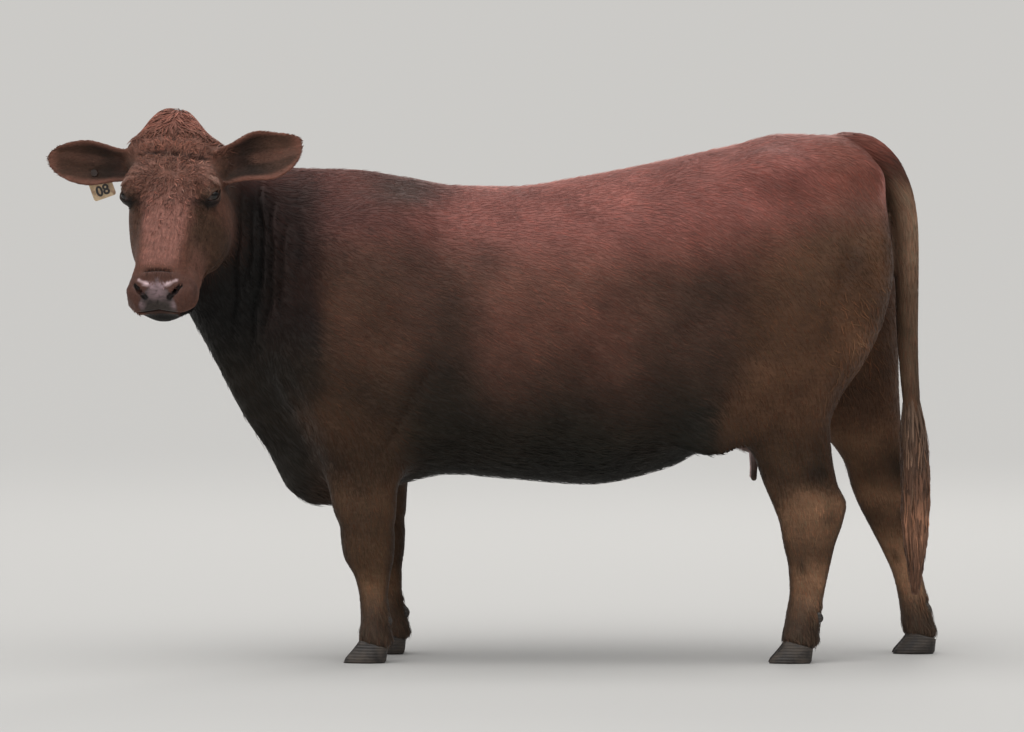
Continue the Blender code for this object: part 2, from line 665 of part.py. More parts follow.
def ring_solid(name, rings):
    """Close a stack of rings of points into a solid with flat ends."""
    count = len(rings[0])
    points = [tuple(p) for ring in rings for p in ring]
    faces = [tuple(reversed(range(count)))]
    for k in range(len(rings) - 1):
        base = k * count
        for i in range(count):
            j = (i + 1) % count
            faces.append((base + i, base + j, base + count + j, base + count + i))
    last = (len(rings) - 1) * count
    faces.append(tuple(range(last, last + count)))
    mesh = mesh_of(name, points, faces)
    bm = bmesh.new()
    bm.from_mesh(mesh)
    bmesh.ops.triangulate(bm, faces=bm.faces)
    bmesh.ops.recalc_face_normals(bm, faces=bm.faces)
    bm.to_mesh(mesh)
    bm.free()
    return mesh


def tube(name, stations, sides, steps, squeeze=1.0, grow=0.0):
    """A round tube through stations of x, y, z and radius, its ends cut level."""
    along = np.linspace(0, 1, steps)
    knots = np.linspace(0, 1, len(stations))
    x, y, z, radius = (curve(knots, stations[:, i])(along) for i in range(4))
    middle = np.stack([x, y, z], 1)
    ahead = np.gradient(middle, axis=0)
    ahead /= np.linalg.norm(ahead, axis=1)[:, None]
    middle[0] -= ahead[0] * grow
    middle[-1] += ahead[-1] * grow
    angle = np.linspace(0, 2 * math.pi, sides, endpoint=False)
    rings = []
    for k in range(steps):
        side = np.array([0.0, 1.0, 0.0])
        out = np.cross(side, ahead[k])
        r = radius[k] + grow
        ring = middle[k] + r * (
            np.cos(angle)[:, None] * side * squeeze + np.sin(angle)[:, None] * out
        )
        rings.append(ring)
    return ring_solid(name, rings)


def ear_frame(side):
    """The ear's root and unit vectors: along it, across it, and out of its opening."""
    root = from_head((EAR_ROOT[0], side * EAR_ROOT[1], EAR_ROOT[2]))
    sweep, droop = EARS[side][:2]
    lateral = side * HEAD_AXES[1]
    back = -np.array([-math.sin(HEAD_YAW), -math.cos(HEAD_YAW), 0.0])
    along = math.cos(sweep) * lateral + math.sin(sweep) * back
    along = along * math.cos(droop) - np.array([0, 0, 1.0]) * math.sin(droop)
    facing = -back - along * (along @ -back)
    facing = facing + np.array([0, 0, -0.10]) - along * (along @ np.array([0, 0, -0.10]))
    facing /= np.linalg.norm(facing)
    return root, along, np.cross(facing, along), facing


def ear_mesh(side, grow=0.0):
    """A cupped leaf: a strip of arc at each step, nearly closed at the root, open further on."""
    root, along, across, facing = ear_frame(side)
    breadth = EARS[side][2]
    arc_radius, half_arc = curve(*zip(*EAR_CUP)), curve(*zip(*EAR_REACH))
    rings = []
    for t in EAR_RINGS:
        radius, reach = float(arc_radius(t)) * breadth, float(half_arc(t))
        wall = EAR_THICKNESS * (1 - 0.35 * t) / 2 + grow
        angles = np.linspace(-reach - grow / radius, reach + grow / radius, 7)
        middle = root + along * ((EAR_LENGTH + 2 * grow) * t - EAR_SINK - grow)
        middle = middle + facing * (radius * 0.55 + 0.012 * t * t)
        loop = []
        for r, order in ((radius + wall, angles), (radius - wall, angles[::-1])):
            for angle in order:
                loop.append(middle + r * (across * math.sin(angle) - facing * math.cos(angle)))
        rings.append(loop)
    return ring_solid("ear", rings)


def ball(name, centre, radii, axes, rows=6, sides=10):
    """An ellipsoid with its pole along the last of its axes."""
    rings = []
    for row in range(1, rows):
        latitude = math.pi * row / rows
        ring = []
        for i in range(sides):
            turn = 2 * math.pi * i / sides
            place = (
                radii[0] * math.sin(latitude) * math.cos(turn),
                radii[1] * math.sin(latitude) * math.sin(turn),
                radii[2] * math.cos(latitude),
            )
            ring.append(np.asarray(centre) + np.asarray(place) @ axes)
        rings.append(ring)
    return ring_solid(name, rings)


def eye_mesh(side, grow=0.0):
    """The eyeball."""
    centre = from_head((EYE_PLACE[0], side * EYE_PLACE[1], EYE_PLACE[2]))
    radius = EYE_RADIUS + grow
    return ball("eye", centre, (radius, radius, radius), HEAD_AXES)


def dewclaw_mesh(foot, half, grow=0.0):
    """One of the two small horny claws behind the fetlock."""
    rear, height = DEWCLAW[foot]
    middle_y, side = FEET[foot][1:]
    centre = (rear, side * middle_y + half * DEWCLAW_SPLAY, height)
    radii = np.array(DEWCLAW_RADII) + grow
    c, s = math.cos(DEWCLAW_LEAN), math.sin(DEWCLAW_LEAN)
    axes = np.array([(c, 0.0, s), (0.0, 1.0, 0.0), (-s, 0.0, c)])
    return ball("dewclaw", centre, radii, axes, rows=4, sides=8)


def teat_mesh(x, y, grow=0.0):
    """One teat, hanging from the udder."""
    stations = np.array([
        (x, y, TEAT_TOP + grow, 0.0115),
        (x - 0.002, y, TEAT_TOP - 0.05, 0.0105),
        (x - 0.004, y, TEAT_END + 0.010, 0.0090),
        (x - 0.004, y, TEAT_END, 0.0045),
    ])
    return tube("teat", stations, 6, 5, grow=grow)


def claw_mesh(foot, half):
    """One claw of a hoof: a D-shaped sole that leans back to the slanting coronet."""
    toe_x, middle_y, side = FEET[foot]
    turns = np.linspace(0, 2 * math.pi, 12, endpoint=False)
    rings = []
    for lift, share_of_width in CLAW_LEVELS:
        width = CLAW_WIDTH * share_of_width
        front = toe_x + CLAW_RAKE[0] * lift
        rear = toe_x + CLAW_LENGTH + CLAW_RAKE[1] * lift
        length = rear - front
        ring = []
        for turn in turns:
            x = front + length * (0.5 - 0.5 * math.cos(turn))
            y = width / 2 * math.sin(turn) * (1.0 + 0.18 * -math.cos(turn))
            if y * half < 0:
                y *= 0.72
            share = (x - toe_x) / CLAW_LENGTH
            height = HOOF_HEIGHT + (HEEL_HEIGHT - HOOF_HEIGHT) * share
            ring.append((x, side * middle_y + half * CLAW_SPLAY + y, lift * (height - GAP)))
        rings.append(ring)
    return ring_solid("claw", rings)


def coronet_cut(mesh, foot):
    """Cut a foot's flesh off along the slanting top of its hoof."""
    toe_x = FEET[foot][0]
    slope = math.atan2(HOOF_HEIGHT - HEEL_HEIGHT, CLAW_LENGTH)
    frame = Matrix.Translation((toe_x, 0, HOOF_HEIGHT + GAP)) @ Matrix.Rotation(slope, 4, "Y")
    return largest_body(boolean(mesh, box_mesh(frame, (-1, -1, -1), (1, 1, 0)), "DIFFERENCE"))


def set_in(mesh, piece):
    """Cut a socket for a piece that was grown by GAP."""
    return largest_body(boolean(mesh, piece, "DIFFERENCE"))


# ---------------------------------------------------------------- finishing


def finish(name, colour, roughness):
    """A plain surface of one colour."""
    material = bpy.data.materials.new(name)
    material.use_nodes = True
    shader = material.node_tree.nodes["Principled BSDF"]
    shader.inputs["Base Color"].default_value = (*colour, 1.0)
    shader.inputs["Roughness"].default_value = roughness
    shader.inputs["Metallic"].default_value = 0.0
    return material


def add_node(name, mesh, material, parent):
    """Add one finished piece of the cow."""
    thing = placed(name, mesh)
    thing.parent = parent
    mesh.name = name
    mesh.materials.clear()
    mesh.materials.append(material)
    mesh.shade_smooth()
    mesh.set_sharp_from_angle(angle=math.radians(40.0))
    return thing


def lathe(name, frame, profile, sides):
    """A turned solid about a frame's z axis, from (depth, radius) pairs."""
    rings = []
    for depth, radius in profile:
        ring = []
        for i in range(sides):
            turn = 2 * math.pi * i / sides
            ring.append(frame @ Vector((radius * math.cos(turn), radius * math.sin(turn), depth)))
        rings.append(ring)
    return ring_solid(name, rings)


def tag_frame():
    """The stud's frame: z out of the ear's opening, y up the tag, its origin in the ear."""
    root, along, across, facing = ear_frame(-1)
    up = np.array([0.0, 0.0, 1.0])
    up = up - facing * (up @ facing)
    up /= np.linalg.norm(up)
    origin = root + along * TAG_ALONG_EAR - up * TAG_BELOW_EAR
    turn = Matrix((np.cross(up, facing).tolist(), up.tolist(), facing.tolist())).transposed()
    return Matrix.Translation(origin.tolist()) @ turn.to_4x4()


def stud_mesh(grow=0.0):
    """The stud: a cap behind the tag, a pin through tag and ear, a button in the ear."""
    rear, plate, button, front = STUD_DEPTHS
    cap, pin, head = STUD_RADII
    profile = (
        (rear - grow, cap + grow),
        (plate + grow, cap + grow),
        (plate + grow, pin + grow),
        (button - grow, pin + grow),
        (button - grow, head + grow),
        (front + grow, cap + grow),
    )
    return lathe("stud", tag_frame(), profile, 8)


def tag_mesh():
    """The tag: a flat plate, wide below, with a narrow neck round the stud."""
    frame = tag_frame() @ Matrix.Rotation(TAG_LEAN, 4, "Z")
    outline = []
    half_width, foot, radius = TAG_HALF_WIDTH, TAG_FOOT, TAG_CORNER
    neck_x, neck_y = TAG_NECK
    top = np.linspace(0, math.pi, 4)
    for sign, start in ((-1, math.pi), (1, 1.5 * math.pi)):
        for step in range(3):
            angle = start + step * math.pi / 4
            outline.append((
                sign * (half_width - radius) + radius * math.cos(angle),
                foot + radius + radius * math.sin(angle),
            ))
    outline += [(half_width, TAG_SHOULDER_Y), (neck_x, neck_y)]
    outline += [(TAG_TOP_RADIUS * math.cos(a), TAG_TOP_RADIUS * math.sin(a)) for a in top]
    outline += [(-neck_x, neck_y), (-half_width, TAG_SHOULDER_Y)]
    back = STUD_DEPTHS[1] + GAP
    front = back + TAG_THICKNESS
    rings = [[frame @ Vector((x, y, depth)) for x, y in outline] for depth in (back, front)]
    return ring_solid("tag", rings)


def stand_over_origin(cow):
    """Move the whole cow so that the origin is under the middle of her box."""
    places = np.array([v.co for thing in cow.children for v in thing.data.vertices])
    middle = (places.min(axis=0) + places.max(axis=0)) / 2
    cow.location = (-middle[0], -middle[1], 0.0)


def main():
    """Build the cow."""
    for thing in list(bpy.data.objects):
        bpy.data.objects.remove(thing)
    cow = bpy.data.objects.new("cow", None)
    bpy.context.scene.collection.objects.link(cow)
    coat = finish("coat", COAT, 0.75)
    dark_coat = finish("dark_coat", COAT_DARK, 0.75)
    muzzle_skin = finish("muzzle_skin", MUZZLE_SKIN, 0.45)
    hoof_horn = finish("hoof_horn", HORN, 0.5)
    teat_skin = finish("teat_skin", TEAT_SKIN, 0.5)
    eye_dark = finish("eye", EYE_DARK, 0.1)
    tag_plastic = finish("tag_plastic", TAG_PLASTIC, 0.45)
    switch_hair = finish("switch_hair", SWITCH_HAIR, 0.7)

    pieces = part_flesh(thinned_flesh())

    for side, name in ((1, "left"), (-1, "right")):
        pieces["head"] = set_in(pieces["head"], ear_mesh(side, GAP * 2))
        pieces["head"] = set_in(pieces["head"], eye_mesh(side, GAP * 2))
        ear = ear_mesh(side)
        if side < 0:
            ear = set_in(ear, stud_mesh(GAP * 2))
        add_node(f"ear_{name}", ear, coat, cow)
        add_node(f"eye_{name}", eye_mesh(side), eye_dark, cow)
        for end, (x, y) in TEATS.items():
            pieces["udder"] = set_in(pieces["udder"], teat_mesh(x, side * -y, GAP * 2))
            add_node(f"teat_{end}_{name}", teat_mesh(x, side * -y), teat_skin, cow)
    add_node("ear_tag", set_in(tag_mesh(), stud_mesh(GAP * 2)), tag_plastic, cow)
    add_node("ear_tag_stud", stud_mesh(), tag_plastic, cow)

    pieces["hindquarters"] = set_in(
        pieces["hindquarters"], tube("tail", TAIL, 10, 18, grow=GAP * 2)
    )
    add_node("tail", tube("tail", TAIL, 10, 18), coat, cow)
    lower = SWITCH.copy()
    lower[:, 2] -= GAP
    add_node("tail_switch", tube("tail_switch", lower, 10, 10, 1.1), switch_hair, cow)

    for foot in FEET:
        leg, name = foot.split("_")
        side = FEET[foot][2]
        key = f"{leg}_pastern_{name}"
        pieces[key] = coronet_cut(pieces[key], foot)
        for half, claw in ((side, "outer"), (-side, "inner")):
            add_node(f"{leg}_{claw}_claw_{name}", claw_mesh(foot, half), hoof_horn, cow)
            pieces[key] = set_in(pieces[key], dewclaw_mesh(foot, half, GAP * 2))
            dewclaw = f"{leg}_{claw}_dewclaw_{name}"
            add_node(dewclaw, dewclaw_mesh(foot, half), hoof_horn, cow)

    for name, mesh in pieces.items():
        skin = muzzle_skin if name == "muzzle" else coat
        if "pastern" in name or "cannon" in name:
            skin = dark_coat
        if name == "udder":
            skin = teat_skin
        add_node(name, mesh, skin, cow)
    stand_over_origin(cow)


main()
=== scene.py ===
"""Looks of a life-size, still model of a polled red beef cow.

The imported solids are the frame. Her flesh nodes give way to one skin: the zero level of a
field built from the same lofted ovals and ellipsoids as the solids, with lids, nostrils, lips,
creases and tendons added, lying a coat's depth inside them. Over it grow joined meshes of
tapered locks that follow the lie of the coat. Eyes, claws, dewclaws and the ear tag are pieces
of their own. Lengths are in metres; +Z is up, she faces -X and her left side is toward -Y.
"""
import logging
import math
from collections.abc import Callable
from dataclasses import dataclass, field
from enum import Enum

import bmesh
import bpy
import numpy as np
from bpy.types import ID, Light, Material, Mesh, Node, NodeSocket, Object
from mathutils import Matrix, Vector


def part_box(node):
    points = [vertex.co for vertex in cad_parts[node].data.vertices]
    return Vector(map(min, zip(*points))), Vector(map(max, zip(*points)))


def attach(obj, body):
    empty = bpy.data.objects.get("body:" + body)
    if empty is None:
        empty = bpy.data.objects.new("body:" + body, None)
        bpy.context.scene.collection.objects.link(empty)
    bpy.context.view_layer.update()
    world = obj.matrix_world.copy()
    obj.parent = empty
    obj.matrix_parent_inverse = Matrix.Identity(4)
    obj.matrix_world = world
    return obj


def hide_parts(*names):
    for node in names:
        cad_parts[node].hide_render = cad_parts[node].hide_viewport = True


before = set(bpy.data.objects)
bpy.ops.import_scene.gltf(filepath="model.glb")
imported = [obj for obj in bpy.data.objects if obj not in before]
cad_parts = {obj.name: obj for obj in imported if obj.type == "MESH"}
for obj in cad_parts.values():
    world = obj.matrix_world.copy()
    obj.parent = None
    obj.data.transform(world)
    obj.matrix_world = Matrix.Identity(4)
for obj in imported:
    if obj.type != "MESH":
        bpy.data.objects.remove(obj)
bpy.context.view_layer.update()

ROOT = "root"
TONE = "coat_tone"  # colour attribute shared by skin and coat
BARE = "bare_skin"  # 1 where the skin has no hair
BAKE_MAP = "OFBake"
PATCH = 0.003  # how wide a lock's patch is on that map
FAR = 1.0  # field value given to points too far from a solid to matter
SEED = 20

logging.basicConfig(level=logging.INFO, format="%(message)s")
log = logging.getLogger("cow")

Vec = tuple[float, float, float]
Array = np.ndarray
Solid = Callable[[Array], Array]


# ---------------------------------------------------------------- fields


class Curve:
    """A smooth function through given values that never overshoots them."""

    def __init__(self, knots: object, values: object) -> None:
        """Tabulate a cubic whose slopes are the harmonic means of the runs beside each knot.

        Args:
            knots: rising places.
            values: the value at each.
        """
        knots, values = np.asarray(knots, float), np.asarray(values, float)
        run = np.diff(knots)
        rise = np.diff(values) / run
        slope = np.concatenate([rise[:1], np.zeros(len(rise) - 1), rise[-1:]])
        product, total = rise[:-1] * rise[1:], rise[:-1] + rise[1:]
        agree = product > 0
        slope[1:-1][agree] = 2 * product[agree] / total[agree]
        self.fine = np.linspace(knots[0], knots[-1], 300)
        i = np.clip(np.searchsorted(knots, self.fine, side="right") - 1, 0, len(run) - 1)
        t = (self.fine - knots[i]) / run[i]
        self.table = (
            values[i] * (1 + 2 * t) * (1 - t) ** 2
            + values[i + 1] * t**2 * (3 - 2 * t)
            + slope[i] * run[i] * t * (1 - t) ** 2
            - slope[i + 1] * run[i] * t**2 * (1 - t)
        )

    def __call__(self, at: Array) -> Array:
        """Return the value at each place; beyond the ends it stays level."""
        return np.interp(at, self.fine, self.table)


def curves(stations: object) -> list[Curve]:
    """Return one curve for each column after the first, as a function of the first."""
    rows = np.asarray(stations, float)
    rows = rows[np.argsort(rows[:, 0])]
    return [Curve(rows[:, 0], rows[:, i]) for i in range(1, rows.shape[1])]


def joined(a: Array, b: Array, blend: float) -> Array:
    """Join two solids with a fillet about `blend` wide: a smooth minimum."""
    share = np.clip(0.5 + 0.5 * (b - a) / blend, 0.0, 1.0)
    return b + (a - b) * share - blend * share * (1 - share)


def shared(a: Array, b: Array, blend: float) -> Array:
    """Keep what two solids share, its edge rounded: a smooth maximum."""
    return -joined(-a, -b, blend)


def cut(a: Array, b: Array, blend: float) -> Array:
    """Take solid b out of solid a, the rim rounded."""
    return -joined(-a, b, blend)


def ease(low: float, high: float, at: Array) -> Array:
    """Rise smoothly from 0 at `low` to 1 at `high`: 3t^2 - 2t^3."""
    t = np.clip((at - low) / (high - low), 0.0, 1.0)
    return t * t * (3 - 2 * t)


def fall(start: float, end: float, at: Array) -> Array:
    """Fall smoothly from 1 at `start` to 0 at `end`."""
    return 1 - ease(start, end, at)


def bell(at: Array, width: float) -> Array:
    """Return exp(-(at/width)^2)."""
    return np.exp(-((at / width) ** 2))


def spot(across: Array, up: Array, wide: float, tall: float) -> Array:
    """Return a soft round spot, 1 at its middle: a bell of the distance in half widths."""
    return bell(np.hypot(across / wide, up / tall), 1.0)


def oval(
    across: Array, up: Array, half_width: object, half_height: object, roundness: object
) -> Array:
    """Distance to the oval |across/w|^n + |up/h|^n = 1: the level less 1, over its slope.

    Args:
        across: places across the oval.
        up: places up it.
        half_width: w.
        half_height: h.
        roundness: n: 2 for an ellipse, more for a squarer one.

    Returns:
        The distance, negative inside.
    """
    a, b = np.abs(across) / half_width, np.abs(up) / half_height
    level = np.maximum((a**roundness + b**roundness) ** (1 / roundness), 1e-6)
    inner = roundness - 1
    slope = np.hypot(a**inner / half_width, b**inner / half_height) / level**inner
    return (level - 1) / np.maximum(slope, 1e-6)


def ellipsoid(p: Array, centre: Vec, radii: Vec, lean: float = 0.0) -> Array:
    """Distance to an ellipsoid; `lean` turns it about Y, its top toward +X.

    Args:
        p: points.
        centre: its middle.
        radii: its half sizes.
        lean: in radians.

    Returns:
        The distance, negative inside.
    """
    q = p - np.asarray(centre)
    if lean:
        c, s = math.cos(lean), math.sin(lean)
        q = np.stack([c * q[:, 0] - s * q[:, 2], q[:, 1], s * q[:, 0] + c * q[:, 2]], 1)
    q = q / np.asarray(radii)
    level = np.maximum(norm(q), 1e-6)
    slope = norm(q / np.asarray(radii)) / level
    return (level - 1) / np.maximum(slope, 1e-6)


def bar(p: Array, a: Vec, b: Vec, radius_a: float, radius_b: float) -> Array:
    """Distance to a round bar from a to b whose radius changes evenly.

    Args:
        p: points.
        a: one end.
        b: the other end.
        radius_a: radius at a.
        radius_b: radius at b.

    Returns:
        The distance, negative inside.
    """
    a, b = np.asarray(a), np.asarray(b)
    along = b - a
    t = np.clip((p - a) @ along / (along @ along), 0.0, 1.0)
    off = norm(p - a - t[:, None] * along)
    return off - (radius_a + t * (radius_b - radius_a))


def near(p: Array, low: Vec, high: Vec, solid: Solid) -> Array:
    """Work a solid out only for the points in a box, and give the others FAR.

    Args:
        p: points.
        low: the box's lowest corner.
        high: its highest corner.
        solid: the solid's field.

    Returns:
        The field at each point.
    """
    chosen = np.all((p > low) & (p < high), axis=1)
    out = np.full(len(p), FAR)
    if chosen.any():
        out[chosen] = solid(p[chosen])
    return out


def norm(v: Array) -> Array:
    """Return the length of each vector."""
    return np.linalg.norm(v, axis=1)


def mirrored(p: Array) -> Array:
    """Fold points on her right over to her left."""
    return np.stack([p[:, 0], -np.abs(p[:, 1]), p[:, 2]], 1)


def unit(v: Array) -> Array:
    """Scale each vector to length 1."""
    return v / np.maximum(np.linalg.norm(v, axis=-1, keepdims=True), 1e-9)


# ---------------------------------------------------------------- the plan of her body


@dataclass(frozen=True)
class TrunkPlan:
    """Trunk and neck: ovals along an axis that leaves X and bends to her left."""

    bend_x: float = -0.42
    bend_radius: float = 0.42
    ends: tuple[float, float] = (-0.995, 0.83)
    # distance ahead of the origin, top, bottom, half width, height of the widest point,
    # roundness above and below it
    stations: tuple[tuple[float, ...], ...] = (
        (-0.985, 1.215, 1.000, 0.060, 1.120, 2.2, 2.0),
        (-0.950, 1.300, 0.860, 0.130, 1.120, 2.3, 2.0),
        (-0.880, 1.342, 0.720, 0.190, 1.120, 2.3, 2.0),
        (-0.740, 1.347, 0.600, 0.248, 1.090, 2.1, 2.0),
        (-0.610, 1.318, 0.575, 0.286, 1.020, 2.15, 2.1),
        (-0.530, 1.300, 0.532, 0.300, 0.980, 2.3, 2.1),
        (-0.440, 1.280, 0.486, 0.318, 0.930, 2.2, 2.2),
        (-0.240, 1.241, 0.446, 0.345, 0.850, 2.1, 2.3),
        (-0.040, 1.213, 0.460, 0.348, 0.830, 2.0, 2.3),
        (0.110, 1.217, 0.471, 0.322, 0.850, 1.9, 2.2),
        (0.240, 1.238, 0.445, 0.285, 0.880, 1.8, 2.1),
        (0.360, 1.255, 0.396, 0.245, 0.900, 1.8, 1.9),
        (0.450, 1.257, 0.389, 0.215, 0.920, 1.8, 1.7),
        (0.520, 1.260, 0.422, 0.184, 0.940, 1.8, 1.7),
        (0.575, 1.266, 0.520, 0.158, 0.960, 1.8, 1.7),
        (0.640, 1.280, 0.612, 0.140, 1.000, 1.8, 1.7),
        (0.720, 1.310, 0.752, 0.126, 1.060, 1.9, 1.7),
        (0.800, 1.335, 0.880, 0.114, 1.120, 2.0, 1.9),
    )
    # lumps on both sides: centre, radii, lean, blend; the left one of each pair
    lumps: tuple[tuple[Vec, Vec, float, float], ...] = (
        ((-0.300, -0.165, 0.880), (0.175, 0.110, 0.290), 0.20, 0.090),  # shoulder blade
        ((-0.455, -0.150, 0.770), (0.110, 0.090, 0.130), 0.00, 0.080),  # point of the shoulder
        ((0.700, -0.180, 1.240), (0.085, 0.055, 0.050), 0.00, 0.070),  # hook bone
        ((0.930, -0.085, 1.215), (0.070, 0.050, 0.075), 0.00, 0.060),  # pin bone
        ((0.975, 0.000, 1.020), (0.048, 0.060, 0.150), 0.00, 0.040),  # below the tail's root
    )
    flank: tuple[Vec, Vec, float, float] = ((0.56, -0.205, 0.64), (0.13, 0.04, 0.11), -0.5, 0.07)
    udder: tuple[Vec, Vec, float, float] = ((0.7, 0.0, 0.6), (0.12, 0.11, 0.082), 0.0, 0.05)
    teats: tuple[tuple[float, float], ...] = ((0.668, 0.052), (0.742, 0.046))
    teat_heights: tuple[float, float] = (0.552, 0.464)
    teat_radii: tuple[float, float] = (0.0125, 0.0115)


@dataclass(frozen=True)
class LegPlan:
    """One leg: height, front x, rear x, inner and outer distance from the middle plane."""

    side: int
    blend: float
    toe_x: float
    stations: tuple[tuple[float, ...], ...]
    reach: tuple[float, float]  # x range the leg is looked for in
    top: float


ROUNDNESS = 2.25
LEG_END = 0.02
HOOF_HEIGHT, HEEL_HEIGHT, CLAW_LENGTH = 0.066, 0.034, 0.112

LEFT_HIND = LegPlan(-1, 0.06, 0.694, (
    (1.230, 0.760, 0.935, 0.050, 0.130),
    (1.130, 0.680, 1.003, 0.025, 0.215),
    (1.000, 0.610, 1.019, 0.012, 0.268),
    (0.880, 0.575, 0.996, 0.012, 0.285),
    (0.760, 0.562, 0.940, 0.022, 0.278),
    (0.670, 0.578, 0.880, 0.045, 0.258),
    (0.600, 0.615, 0.858, 0.070, 0.238),
    (0.530, 0.655, 0.862, 0.092, 0.222),
    (0.460, 0.680, 0.874, 0.108, 0.213),
    (0.400, 0.706, 0.895, 0.116, 0.211),
    (0.355, 0.723, 0.888, 0.119, 0.209),
    (0.300, 0.733, 0.869, 0.124, 0.205),
    (0.240, 0.746, 0.855, 0.129, 0.202),
    (0.180, 0.749, 0.842, 0.129, 0.202),
    (0.130, 0.741, 0.834, 0.120, 0.211),
    (0.085, 0.733, 0.829, 0.119, 0.212),
    (0.040, 0.720, 0.828, 0.117, 0.214),
), (0.46, 1.12), 1.32)
RIGHT_HIND = LegPlan(1, 0.06, 1.026, (
    (1.230, 0.770, 0.935, 0.050, 0.130),
    (1.130, 0.690, 1.018, 0.025, 0.215),
    (1.000, 0.620, 1.038, 0.014, 0.268),
    (0.880, 0.600, 1.046, 0.016, 0.285),
    (0.760, 0.630, 1.048, 0.030, 0.278),
    (0.680, 0.700, 1.050, 0.050, 0.258),
    (0.610, 0.785, 1.054, 0.072, 0.238),
    (0.550, 0.862, 1.060, 0.090, 0.224),
    (0.490, 0.903, 1.076, 0.102, 0.215),
    (0.435, 0.919, 1.091, 0.112, 0.212),
    (0.390, 0.937, 1.092, 0.117, 0.210),
    (0.330, 0.968, 1.084, 0.123, 0.206),
    (0.265, 1.002, 1.095, 0.129, 0.202),
    (0.200, 1.030, 1.110, 0.130, 0.201),
    (0.140, 1.044, 1.124, 0.121, 0.210),
    (0.090, 1.050, 1.138, 0.119, 0.212),
    (0.040, 1.052, 1.150, 0.117, 0.214),
), (0.48, 1.24), 1.32)
FORE_STATIONS = (
    (0.760, -0.490, -0.210, 0.060, 0.235),
    (0.660, -0.490, -0.215, 0.065, 0.238),
    (0.560, -0.466, -0.232, 0.078, 0.228),
    (0.470, -0.431, -0.240, 0.092, 0.216),
    (0.400, -0.411, -0.245, 0.094, 0.214),
    (0.340, -0.396, -0.248, 0.092, 0.214),
    (0.270, -0.384, -0.252, 0.099, 0.207),
    (0.215, -0.355, -0.262, 0.113, 0.193),
    (0.165, -0.344, -0.268, 0.115, 0.191),
    (0.115, -0.341, -0.262, 0.106, 0.200),
    (0.080, -0.344, -0.258, 0.104, 0.202),
    (0.040, -0.352, -0.254, 0.101, 0.205),
)
FORE_LEAN = Curve((0.04, 0.16, 0.26, 0.76), (0.042, 0.032, 0.022, 0.02))
LEFT_FORE = LegPlan(-1, 0.07, -0.386, FORE_STATIONS, (-0.6, -0.1), 0.86)
RIGHT_FORE = LegPlan(
    1, 0.07, -0.344,
    tuple((z, f + float(FORE_LEAN(z)), r + float(FORE_LEAN(z)), i, o) for z, f, r, i, o in FORE_STATIONS),
    (-0.58, -0.08), 0.86,
)
LEGS = {"hind_left": LEFT_HIND, "hind_right": RIGHT_HIND, "fore_left": LEFT_FORE, "fore_right": RIGHT_FORE}


@dataclass(frozen=True)
class HeadPlan:
    """The head in its own frame: a toward the muzzle, s to her left, b out of the forehead."""

    centre: Vec = (-0.802, -0.345, 1.18)
    yaw: float = math.radians(12.5)
    pitch: float = math.radians(56.0)
    ends: tuple[float, float] = (-0.277, 0.308)
    roundness: float = 2.4
    stations: tuple[tuple[float, ...], ...] = (  # a, top, bottom, half width, b of the widest
        (-0.268, 0.018, -0.045, 0.034, -0.015),
        (-0.246, 0.042, -0.090, 0.054, -0.010),
        (-0.202, 0.060, -0.130, 0.084, -0.005),
        (-0.150, 0.069, -0.165, 0.110, 0.000),
        (-0.090, 0.071, -0.190, 0.119, 0.000),
        (-0.030, 0.068, -0.205, 0.120, -0.005),
        (0.030, 0.062, -0.205, 0.116, -0.035),
        (0.090, 0.054, -0.188, 0.103, -0.050),
        (0.150, 0.046, -0.160, 0.093, -0.050),
        (0.205, 0.038, -0.134, 0.086, -0.048),
        (0.250, 0.028, -0.118, 0.085, -0.046),
        (0.284, 0.010, -0.106, 0.081, -0.046),
        (0.304, -0.014, -0.094, 0.064, -0.050),
    )
    poll_lean: float = 0.035
    poll_lean_start: float = -0.02
    lumps: tuple[tuple[Vec, Vec, float], ...] = (
        ((-0.026, 0.094, 0.046), (0.040, 0.028, 0.024), 0.030),  # brow
        ((0.025, 0.086, -0.105), (0.105, 0.036, 0.080), 0.045),  # cheek
        ((0.268, 0.045, -0.036), (0.042, 0.038, 0.042), 0.025),  # lip
        ((0.244, 0.000, -0.094), (0.046, 0.050, 0.032), 0.025),  # chin
        ((-0.128, 0.098, -0.008), (0.045, 0.037, 0.034), 0.032),  # between the poll and the ear
    )
    eye: Vec = (0.014, 0.106, 0.034)
    eye_radius: float = 0.0215
    eye_axis: Vec = (0.3, 0.72, 0.62)  # the way her left eye looks
    eye_slant: Vec = (0.8, -0.5, 0.2)  # from its rear corner to its front one
    eye_width: float = 0.023  # half, corner to middle
    lid_heights: tuple[float, float] = (0.0088, 0.0098)  # upper and lower lid from the corners' line
    lid_thickness: float = 0.0036

    def axes(self) -> Array:
        """Return the unit vectors a, s and b as rows."""
        level = np.array([-math.sin(self.yaw), -math.cos(self.yaw), 0.0])
        up = np.array([0.0, 0.0, 1.0])
        along = math.cos(self.pitch) * level - math.sin(self.pitch) * up
        out = math.sin(self.pitch) * level + math.cos(self.pitch) * up
        return np.stack([along, np.cross(out, along), out])


